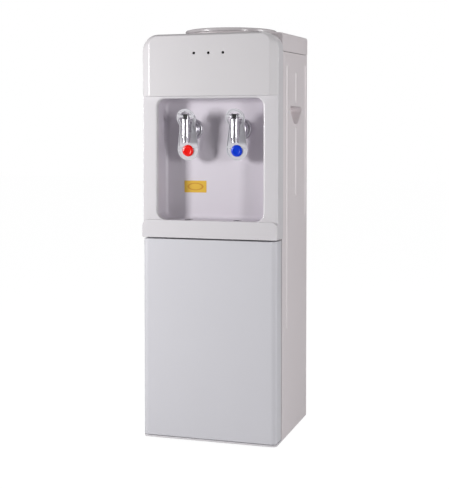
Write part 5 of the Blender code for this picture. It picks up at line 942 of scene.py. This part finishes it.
def build_cap(kind):
    """The coloured cap: a low dome in a shallow ring."""
    radius, dish = CAP_RADIUS, CAP_DISH
    profile = [(0, -1.5), (dish - 1.2, -1.5), (dish - 0.3, -1.9), (dish + 0.5, -2.2), (dish + 1.4, -2.1),
               (radius - 1.6, -1.6), (radius - 0.4, -0.9), (radius, -0.2), (radius, 0.9), (0, 0.9)]
    place = (tap_x(kind), behind(lever_depth(CAP_HEIGHT) - PLATE_HALF), CAP_HEIGHT)
    tilt = Matrix.Rotation(math.atan2(3.5, 54), 4, "X")
    form = Form().lathe(profile, FRONT, (0, 0, 0), 56).move(place, tilt)
    colour = {"hot": "red", "cold": "blue"}[kind]
    node = kind + "_tap_dot"
    piece(node + "_cap", form, colour + "_cap_abs", colour, node, body=kind + "_lever")


def build_valve(kind):
    """Stem, nut and pin, and the coil spring on a mesh of its own."""
    refine(kind + "_tap_stem", "black_nylon", "dark", 0.5, 3, kind + "_stem")
    node = kind + "_tap_spring"
    coil = piece(node + "_coil", Form(node), "stainless", "inox", node)
    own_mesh(coil)
    keep("zinc_steel", kind + "_lever_pin")
    refine(kind + "_tap_nut", "black_nylon", "dark", 0.6)


# Door
DOOR_CORNER, DOOR_BACK_CORNER, DOOR_WALL = 12, 3, 3


def build_door_shell():
    """The outer shell with soft upright edges, open at the back, and its two hinge bosses."""
    low, high = box("cabinet_door")
    wall, reach = DOOR_WALL, DOOR_CORNER - DOOR_WALL
    form = Form().prism(PLAN, rectangle(low.xy, high.xy),
                        (DOOR_CORNER, DOOR_CORNER, DOOR_BACK_CORNER, DOOR_BACK_CORNER), low.z, high.z, 10)
    form.tidy()
    form.soften(form.corners(60, lambda centre: not low.z + 0.01 <= centre.z <= high.z - 0.01), 1.2, 4)
    form.cut(Form().prism(PLAN, rectangle((low.x + wall, low.y + wall), (high.x - wall, high.y + 4)),
                          (reach, reach, 0, 0), low.z + wall, high.z - wall))
    hinge = middle("lower_hinge_pin")
    for foot in (low.z + 2, high.z - 15):
        form.add(Form().prism(PLAN, rectangle((low.x + 1.6, hinge.y - 6), (hinge.x + 6, high.y - GAP)),
                              (0, 2, 0, 0), foot, foot + 13, 4))
    piece("cabinet_door_shell", form, "door_abs", "shell", "cabinet_door", body="door", sharp=32.0)


def build_door_inner():
    """The inner panel with its three pressed fields, and the magnet."""
    low, high = box("door_inner_panel")
    form = Form().prism(FRONT, rectangle(low.xz, high.xz), 1, low.y, high.y - 0.8)
    height = high.z - low.z
    for start, end in ((0.06, 0.32), (0.37, 0.63), (0.68, 0.94)):
        rings = []
        for inset, sink in ((0, 0.9), (0, 0.4), (0.5, 0), (9, 0)):
            corners = rectangle((low.x + 22 + inset, low.z + height * start + inset),
                                (high.x - 22 - inset, low.z + height * end - inset))
            rings.append(form.ring(FRONT, corners, 14 - min(inset, 5), high.y - sink))
        form.skin(rings, -1, 0)
    boss = box("lower_hinge_pin")[1].x + 8
    for foot, top in ((low.z - 4, low.z + 12.5), (high.z - 12.5, high.z + 4)):
        form.cut(Form().prism(FRONT, rectangle((low.x - 4, foot), (boss - 1.6, top)), 0, low.y - 4,
                              high.y + 4))
    piece("door_inner_pressing", form, "alcove_abs", "liner", "door_inner_panel", body="door")
    refine("door_magnet", "black_nylon", "dark", 0.8, 3, "door")


def build_works():
    """Dress the hidden pieces and the back's fittings."""
    for node, finish, slot, width in (
            ("mid_deck", "painted_steel", "panel", 0.4), ("cabinet_back", "painted_steel", "panel", 0.4),
            ("power_supply", "blackened_steel", "dark", 1), ("switch_plate", "black_nylon", "dark", 0.4)):
        refine(node, finish, slot, width)
    for kind in ("heating", "cooling"):
        refine(kind + "_switch", "black_nylon", "dark", 0.5, body=kind + "_rocker")
    refine("power_inlet", "black_nylon", "dark", 0.4)
    refine("cooling_block", "drawn_aluminium", "aluminium", 0.5)
    for finish, nodes in (
            ("stainless", ("cold_tank", "hot_tank")), ("tank_foam", ("cold_tank_foam",)),
            ("funnel_abs", ("cold_tank_baffle",)), ("drawn_aluminium", ("heat_sink",)),
            ("zinc_steel", ("tank_bracket", "heater_band", "lower_hinge_pin", "upper_hinge_pin")),
            ("fan_nylon", ("fan_frame", "fan_rotor")), ("black_nylon", ("hot_tank_thermostat",)),
            ("clear_silicone", ("cold_hose", "hot_hose", "feed_hose"))):
        keep(finish, *nodes)


# Studio, in metres
IMAGE_WIDTH, IMAGE_HEIGHT = 449, 489
FOCAL, CENTRE_ROW = 1072.14, 172.13          # in the photograph's pixels
YAW, PITCH = 17.374, 2.0
CAMERA_PLACE = (0.73878, -2.38792, 0.69373)
SENSOR = 36.0
# Place, point faced, width and height, watts
LAMP_STANDS = {
    "left_softbox": ((-1.3, -1.24, 0.82), (0, 0, 0.6), (0.3, 0.5), 26),
    "right_softbox": ((2.3, -1.95, 0.85), (0, 0, 0.6), (0.45, 0.8), 28),
    "side_softbox": ((2.3, 0.25, 0.95), (0, 0, 0.5), (0.6, 1.2), 18),
    "top_softbox": ((0.2, 0.4, 2.6), (0, 0, 0.9), (1.4, 1.4), 9),
}
WHITE = (1.0, 1.0, 1.0, 1.0)


def build_camera():
    """The camera, fitted to the photograph's straight edges."""
    data = bpy.data.cameras.new("photo_camera")
    long_side = max(IMAGE_WIDTH, IMAGE_HEIGHT)
    data.sensor_width = SENSOR
    data.lens = FOCAL / long_side * SENSOR
    data.shift_y = -(IMAGE_HEIGHT / 2 - CENTRE_ROW) / long_side
    data.clip_start, data.clip_end = 0.1, 50.0
    turn = (math.radians(90 - PITCH), 0, math.radians(YAW))
    bpy.context.scene.camera = place_in_scene("photo_camera", data, CAMERA_PLACE, turn)


def build_lamp_stands():
    """The soft area lamps."""
    for name, (place, target, size, power) in LAMP_STANDS.items():
        data = bpy.data.lights.new(name, "AREA")
        data.shape = "RECTANGLE"
        data.size, data.size_y = size
        data.energy = power
        aim = Vector(target) - Vector(place)
        place_in_scene(name, data, place, aim.to_track_quat("-Z", "Y").to_euler())


def build_world():
    """Grey surroundings that the camera and glass see as white."""
    world = bpy.data.worlds.new("studio")
    bpy.context.scene.world = world
    world.use_nodes = True
    tree = Tree(world.node_tree)
    ground = world.node_tree.nodes["Background"]
    tree.fill(ground, Color=(0.97, 0.95, 0.98, 1.0), Strength=0.09)
    white = tree.add("ShaderNodeBackground", Color=WHITE, Strength=1.0)
    rays = tree.add("ShaderNodeLightPath").outputs
    seen = tree.math("MAXIMUM", rays["Is Camera Ray"], rays["Is Transmission Ray"])
    mix_shaders(tree, "World Output", seen, ground.outputs[0], white.outputs[0])


def build_floor():
    """A wide pale floor that keeps the dispenser's shadow."""
    form = Form()
    ops.create_grid(form.bm, x_segments=1, y_segments=1, size=14.0)
    floor = form.mesh("floor")
    material, tree, shader = new_material("pale_floor")
    tree.fill(shader, Base_Color=(0.6, 0.6, 0.61, 1.0), Roughness=0.7)
    glow = tree.add("ShaderNodeEmission", Color=WHITE, Strength=1.1)
    rays = tree.add("ShaderNodeLightPath").outputs
    share = tree.math("MULTIPLY", rays["Is Camera Ray"], 0.9)
    mix_shaders(tree, "Material Output", share, shader.outputs[0], glow.outputs[0])
    floor.data.materials.append(material)


def main():
    """Build the studio and dress the dispenser, sub-assembly by sub-assembly."""
    bpy.context.scene.view_settings.view_transform = "Standard"
    for step in (build_camera, build_world, build_floor, build_lamp_stands, fill_palette, build_shell,
                 build_head, build_ledge, build_liner, build_lamps, build_sticker, build_cup,
                 build_drip_cover):
        step()
    for kind in TAPS:
        for step in (build_tap_body, build_lever, build_cap, build_valve):
            step(kind)
    build_door_shell()
    build_door_inner()
    build_base()
    for name, side in (("left", -1), ("right", 1)):
        build_side(name + "_side_panel", side)
        build_grip(name + "_hand_grip", side)
    for step in (build_rear, build_top_cover, build_collar, build_funnel, build_works):
        step()


if __name__ == "__main__":
    main()
